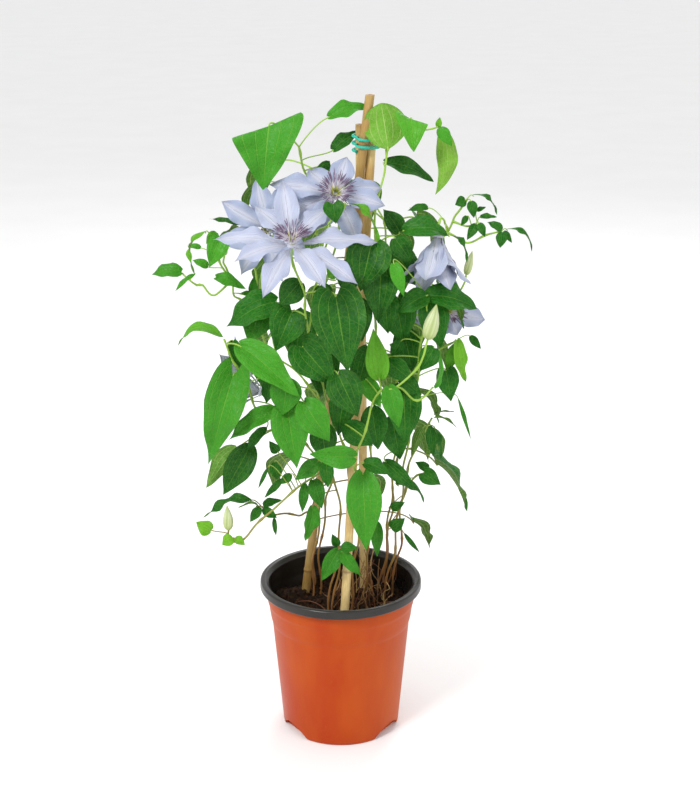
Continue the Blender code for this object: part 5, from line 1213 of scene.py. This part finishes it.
def twine_path():
    """The twine's way round the canes is the hull of their three circles, climbing as it turns.

    Out from the canes' mean, a circle's reach is its offset along the direction, plus the root
    of its radius squared less its offset aside squared. The hull's reach is the largest.
    """
    share = np.linspace(0, 1, 181)
    heights = TIE_HEIGHT + TIE_PITCH * TIE_TURNS * (0.5 - share)
    turn = math.tau * TIE_TURNS * share + TIE_START
    outward = np.stack((np.cos(turn), np.sin(turn)), axis=-1)
    axes = np.stack([cane_axis(name, heights)[:, :2] for name in CANES])
    middle = axes.mean(axis=0)
    offset = axes - middle
    along = (offset * outward).sum(axis=-1)
    aside = offset[..., 0] * outward[:, 1] - offset[..., 1] * outward[:, 0]
    clear = CANE_RADIUS + CANE_JOINT_SWELL + TIE_RADIUS + GAP
    reach = (along + np.sqrt(np.clip(clear**2 - aside**2, 0, None))).max(axis=0)
    return np.column_stack((middle + outward * reach[:, None], heights))


def ring_tube(path, radius, sides):
    """A tube round an upright axis: its circles stand on the outward and the upward direction."""
    middle = path[:, :2].mean(axis=0)
    outward = path - (*middle, 0)
    outward[:, 2] = 0
    outward /= np.linalg.norm(outward, axis=1)[:, None]
    turns = np.arange(sides) * math.tau / sides
    rings = path[:, None] + radius * (np.cos(turns)[:, None] * outward[:, None]
                                      + np.sin(turns)[:, None] * np.array((0, 0, 1)))
    return shell(rings, path[0], path[-1])


twine = ring_tube(twine_path(), TIE_RADIUS, 12)
add_piece("cane_tie_fine", [twine], twine_material(), ["cane_tie"])

# %% [markdown]
# ## The pot
# The pot is blow moulded polypropylene in two layers, orange outside and black inside, and the
# black shows on the rolled lip. It is a surface of revolution in two shells, cut by the four
# drain arches at its foot. The orange shell has a deep foot, so the cuts show orange inside.
# Such plastic has a satin skin, with faint upright streaks where the hot tube was stretched
# and a few dull scuffs.

# %% Pot materials
def plastic_material(name, code, pale, roughness, specular):
    made, tree, shader = new_material(name, roughness, 1.49)
    where = add_node(tree, "TexCoord").outputs["Object"]
    flat = add_node(tree, "Mapping", {"Vector": where, "Scale": (1.0, 1.0, 0.35)})
    rings = add_node(tree, "TexNoise", {"Vector": flat, "Scale": 26.0, "Detail": 3.0})
    dust = add_node(tree, "TexNoise", {"Vector": where, "Scale": 240.0, "Detail": 4.0})
    specks = add_node(tree, "MapRange", (dust, 0.5, 0.8, 0.0, 0.35))
    wear = add_node(tree, "MapRange", (rings, 0.35, 0.72, 0.0, 0.7))
    sum_of = add_node(tree, "Math", (specks, wear), operation="MAXIMUM")
    colour = add_node(tree, "Mix", {0: sum_of, 6: linear(code), 7: linear(pale)}, **COLOURS)
    rough = add_node(tree, "MapRange", (rings, 0.3, 0.7, roughness - 0.06, roughness + 0.1))
    bump = add_node(tree, "Bump", {"Strength": 0.15, "Distance": 0.0003, "Height": dust})
    feed(shader, {"Base Color": colour, "Roughness": rough, "Normal": bump,
                  "Specular IOR Level": specular})
    return made


ORANGE = plastic_material("polypropylene, orange, blow moulded", "A43502", "B8540E", 0.38, 0.2)
BLACK = plastic_material("polypropylene, black, blow moulded", "171412", "2E2A25", 0.28, 0.45)

# %% Pot shells
POT_HEIGHT = 0.146
LIP_RADIUS = 0.075
COLLAR_RADIUS = 0.0682
LIP_MOUTH_RADIUS = 0.0694
BASE_RADIUS = 0.0545
WALL_TOP_RADIUS = 0.0642
WALL_TOP = 0.1075
POT_WALL = 0.0018
NOTCH_ANGLES = (56, 124, 236, 304)
NOTCH_HALF_WIDTH = 0.0205
NOTCH_HEIGHT = 0.0108
CUTTER_REACH = (0.0475, 0.0600)
POT_ROUNDING = 0.0012
POT_SIDES = 192


def wall_radius(height):
    """The pot's outer radius at this height: straight from the base to the collar."""
    return BASE_RADIUS + (WALL_TOP_RADIUS - BASE_RADIUS) / WALL_TOP * height


def rounded(corners, reach, steps=5):
    """An outline with its corners rounded: a quadratic curve that starts and ends a reach away."""
    corners = np.asarray(corners, float)
    points = [corners[:1]]
    for before, corner, after in zip(corners, corners[1:], corners[2:]):
        here = min(reach, 0.45 * np.linalg.norm(before - corner), 0.45 * np.linalg.norm(after - corner))
        start, end = corner + unit(before - corner) * here, corner + unit(after - corner) * here
        t = np.linspace(0, 1, steps)[:, None]
        points.append((1 - t) ** 2 * start + 2 * t * (1 - t) * corner + t**2 * end)
    return np.vstack(points + [corners[-1:]])


half_wall = POT_WALL / 2
outer = [(0, 0), (BASE_RADIUS - 0.0008, 0), (wall_radius(0.0015), 0.0015), (wall_radius(0.05), 0.05),
         (wall_radius(0.1045), 0.1045), (wall_radius(0.1065) + 0.0006, 0.1068), (0.0655, 0.1105),
         (0.0672, 0.1225), (COLLAR_RADIUS, 0.1255), (COLLAR_RADIUS, 0.1388)]
middle = [(COLLAR_RADIUS - half_wall, 0.1388), (COLLAR_RADIUS - half_wall, 0.1250),
          (wall_radius(0.104) - half_wall, 0.1065),
          (wall_radius(0.0125) - half_wall, 0.0125), (0, 0.0125)]
lining = [(0, 0.0126), (wall_radius(0.0125) - half_wall, 0.0126),
          (wall_radius(0.104) - half_wall, 0.1066),
          (COLLAR_RADIUS - half_wall, 0.1251), (COLLAR_RADIUS - half_wall, 0.138),
          (LIP_RADIUS - 0.0008, 0.138), (LIP_RADIUS, 0.1392), (LIP_RADIUS - 0.0004, 0.1450),
          (LIP_RADIUS - 0.0016, POT_HEIGHT), (LIP_MOUTH_RADIUS + 0.0012, POT_HEIGHT),
          (LIP_MOUTH_RADIUS, 0.1452),
          (COLLAR_RADIUS - POT_WALL, 0.1425), (COLLAR_RADIUS - POT_WALL, 0.1245),
          (wall_radius(0.104) - POT_WALL, 0.1065), (wall_radius(0.014) - POT_WALL, 0.014), (0, 0.014)]


def cut_drains(piece):
    """Cuts the four drain openings with one Boolean difference, then removes the cutters.

    An opening's arch is as high as the square of the sine of an angle whose cosine is its width.
    """
    group = bpy.data.collections.new("drain_cutters")
    arch = np.linspace(0, math.pi, 25)
    section = np.vstack(((1, -0.3), np.column_stack((np.cos(arch), np.sin(arch) ** 2)), (-1, -0.3)))
    for degrees in NOTCH_ANGLES:
        angle = math.radians(degrees) - math.pi / 2
        outward = np.array((math.cos(angle), math.sin(angle), 0))
        aside = np.array((-outward[1], outward[0], 0))
        sides = section[:, :1] * NOTCH_HALF_WIDTH * aside + section[:, 1:] * (0, 0, NOTCH_HEIGHT)
        rings = np.stack([sides + outward * reach for reach in CUTTER_REACH])
        points, quads, tris, _ = shell(rings, rings[0].mean(axis=0), rings[1].mean(axis=0))
        mesh = bpy.data.meshes.new("drain_cutter")
        mesh.from_pydata(points.tolist(), [], quads.tolist() + tris.tolist())
        cutter = bpy.data.objects.new("drain_cutter", mesh)
        group.objects.link(cutter)
    change = piece.modifiers.new("drains", "BOOLEAN")
    change.operation = "DIFFERENCE"
    change.operand_type = "COLLECTION"
    change.collection = group
    change.solver = "EXACT"
    bpy.context.view_layer.update()
    result = bpy.data.meshes.new_from_object(piece.evaluated_get(bpy.context.evaluated_depsgraph_get()))
    piece.modifiers.remove(change)
    piece.data = result
    for cutter in list(group.objects):
        bpy.data.objects.remove(cutter)
    bpy.data.collections.remove(group)
    result.shade_smooth()
    result.set_sharp_from_angle(angle=math.radians(40))


wall_shell = turned(rounded(outer + middle, POT_ROUNDING), POT_SIDES)
lining_shell = turned(rounded(lining, POT_ROUNDING), POT_SIDES)
cut_drains(add_piece("pot_wall", [wall_shell], ORANGE, ["pot"]))
cut_drains(add_piece("pot_lining", [lining_shell], BLACK, ["pot"]))

# %% [markdown]
# ## Soil
# Potting compost is dark, crumbly and fibrous: lumps of a few mm, loose crumbs and a tangle of
# dry stems. Its surface is a disc of rings whose height is a sum of waves of several lengths at
# random angles; loose crumbs are small dented balls strewn on it by a seeded draw.

# %% Soil material
def soil_material():
    made, tree, shader = new_material("potting compost, moist", 0.9)
    where = add_node(tree, "TexCoord").outputs["Object"]
    clods = add_node(tree, "TexNoise",
                     {"Vector": where, "Scale": 300.0, "Detail": 6.0, "Roughness": 0.65})
    ramp = add_node(tree, "ValToRGB", [clods],
                    stops=((0.3, "0D0704"), (0.5, "24150A"), (0.66, "442A16"), (0.8, "6E4A2A")))
    bump = add_node(tree, "Bump", {"Strength": 1.0, "Distance": 0.0015, "Height": clods})
    feed(shader, {"Base Color": ramp, "Normal": bump, "Specular IOR Level": 0.2})
    return made


SOIL = soil_material()
print(SOIL.name, "has", len(SOIL.node_tree.nodes), "nodes")


# %% Soil surface and crumbs
SOIL_WAVELENGTHS = (0.05, 0.03, 0.018, 0.011, 0.007, 0.005, 0.0035)
SOIL_LUMPS = (-0.004, 0.005)  # lowest and highest
SOIL_RINGS = 60


def soil_height(x, y):
    """A sum of sine waves of shrinking length and height, each at its own random angle."""
    rng = np.random.default_rng(12)
    total = 0 * x
    for wavelength in SOIL_WAVELENGTHS:
        for angle, phase in rng.uniform(0, math.tau, (3, 2)):
            along = x * math.cos(angle) + y * math.sin(angle)
            total = total + wavelength * 0.05 * np.sin(math.tau / wavelength * along + phase)
    return np.clip(total, *SOIL_LUMPS)


def surface_ripple(x, y, radius):
    """The soil's own height on top, and none on its sides and underside."""
    on_top = (np.arange(len(radius)) < SOIL_RINGS)[:, None]
    return np.where(on_top, soil_height(x, y), 0)


soil_outline = [(r, SOIL_TOP - 0.0005) for r in (0, *np.linspace(0.001, 0.0638, SOIL_RINGS))]
soil_outline += [(0.0628, 0.110), (0.0618, 0.106), (0.03, 0.104), (0, 0.104)]
soil_shell = turned(soil_outline, 220, surface_ripple)
add_piece("soil_fine", [soil_shell], SOIL, ["soil"], sharp=180)


def crumb_shells(count):
    """Dented balls: points of a small sphere, each pushed in or out by its own share."""
    rng = np.random.default_rng(5)
    turn, out = rng.uniform(0, math.tau, count), 0.061 * np.sqrt(rng.uniform(0, 1, count))
    x, y = out * np.cos(turn), out * np.sin(turn)
    z = SOIL_TOP + soil_height(x, y)
    size = rng.uniform(0.0009, 0.0028, count) * rng.uniform(0.6, 1, count)
    polar = np.linspace(0.5, math.pi - 0.5, 4)[:, None]
    round_it = np.arange(6)[None, :] * math.tau / 6
    ball = np.stack((np.sin(polar) * np.cos(round_it), np.sin(polar) * np.sin(round_it),
                     np.cos(polar) + 0 * round_it), axis=-1)
    shells = []
    for i in range(count):
        dents = rng.uniform(0.7, 1.25, (4, 6, 1))
        stretch = rng.uniform(0.6, 1.5, 3)
        centre = np.array((x[i], y[i], z[i]))
        rings = centre + size[i] * ball * dents * stretch
        pole = np.array((0, 0, size[i] * stretch[2]))
        shells.append(shell(rings, centre + pole, centre - pole))
    return shells


add_piece("soil_crumbs", crumb_shells(420), SOIL, [], sharp=180)


# %% Dry stems on the soil
def dry_stem_shells(count):
    """Thin dead stems: each a curve through four random points, up from the soil, some bent back."""
    rng = np.random.default_rng(31)
    shells = []
    for i in range(count):
        start = np.array((rng.uniform(-0.008, 0.044), rng.uniform(-0.030, 0.034), SOIL_TOP - 0.003))
        lean = rng.uniform(-1, 1, 3) * (0.008, 0.007, 0) + (0.001, 0, rng.uniform(0.006, 0.020))
        bends = [start]
        for step in range(3):
            bends.append(bends[-1] + lean + rng.uniform(-0.005, 0.005, 3))
            if i % 3 == 0:
                lean = lean - (0, 0, 0.009)
        path = smooth_path(bends, 0.003)
        path[:, 2] = np.maximum(path[:, 2], SOIL_TOP - 0.001)
        path[:, :2] *= np.minimum(1, 0.060 / np.linalg.norm(path[:, :2], axis=1))[:, None]
        radius = rng.uniform(0.0003, 0.0006)
        shells.append(tube(path, np.linspace(radius, 0.6 * radius, len(path)), 6,
                           (1.0, rng.uniform(0, 1) ** 2)))
    return shells


add_piece("dry_stems", dry_stem_shells(60), STEM, [])

# %% [markdown]
# ## Floor, light and camera
# A plain pale floor, a soft light from the upper left, a weak one from the right, one from
# behind and an even pale sky give the flat, bright light of a catalogue photograph. The camera
# stands where the photograph was taken: 1.3 m in front, looking 18 degrees down.

# %% Floor and lights
def floor_material():
    made, tree, shader = new_material("painted board, matt", 0.8)
    where = add_node(tree, "TexCoord").outputs["Object"]
    grain = add_node(tree, "TexNoise", {"Vector": where, "Scale": 6.0})
    ramp = add_node(tree, "ValToRGB", [grain], stops=((0.0, "ECECEC"), (1.0, "F2F2F2")))
    feed(shader, {"Base Color": ramp})
    return made


floor_mesh = bpy.data.meshes.new("floor")
floor_mesh.from_pydata([(-40, -40, 0), (40, -40, 0), (40, 40, 0), (-40, 40, 0)], [], [(0, 1, 2, 3)])
floor_mesh.materials.append(floor_material())
floor = bpy.data.objects.new("floor", floor_mesh)
bpy.context.scene.collection.objects.link(floor)


def area_light(name, place, aim, size, watts):
    """A square soft light at a place, turned to face its aim."""
    lamp = bpy.data.lights.new(name, "AREA")
    lamp.size = size
    lamp.energy = watts
    holder = bpy.data.objects.new(name, lamp)
    holder.location = place
    forward = unit(np.subtract(aim, place))
    heading = math.atan2(forward[1], forward[0])
    holder.rotation_euler = (math.acos(-forward[2]), 0, heading - math.pi / 2)
    bpy.context.scene.collection.objects.link(holder)
    print(name, "light:", watts, "W")


for row in (("key", (-1.0, -1.3, 1.8), (0, 0, 0.35), 0.6, 29),
            ("fill", (1.5, -1.3, 0.9), (0, 0, 0.3), 1.2, 6),
            ("back", (0.4, 1.5, 1.7), (0, 0, 0.35), 0.9, 16)):
    area_light(*row)
world = bpy.data.worlds.new("studio")
world.use_nodes = True
feed(world.node_tree.nodes["Background"], {"Color": (1.0, 1.0, 1.0, 1.0), "Strength": 0.96})
bpy.context.scene.world = world
bpy.context.scene.view_settings.view_transform = "Standard"

# %% Camera
lens = bpy.data.cameras.new("view")
lens.sensor_fit = "VERTICAL"
lens.sensor_height = 36.0
lens.lens = VIEW_FOCAL_PX / VIEW_HEIGHT_PX * lens.sensor_height
camera = bpy.data.objects.new("view", lens)
camera.location = (VIEW_ASIDE, -VIEW_DISTANCE, VIEW_HEIGHT)
camera.rotation_euler = (math.pi / 2 - VIEW_PITCH, 0, 0)
bpy.context.scene.collection.objects.link(camera)
bpy.context.scene.camera = camera
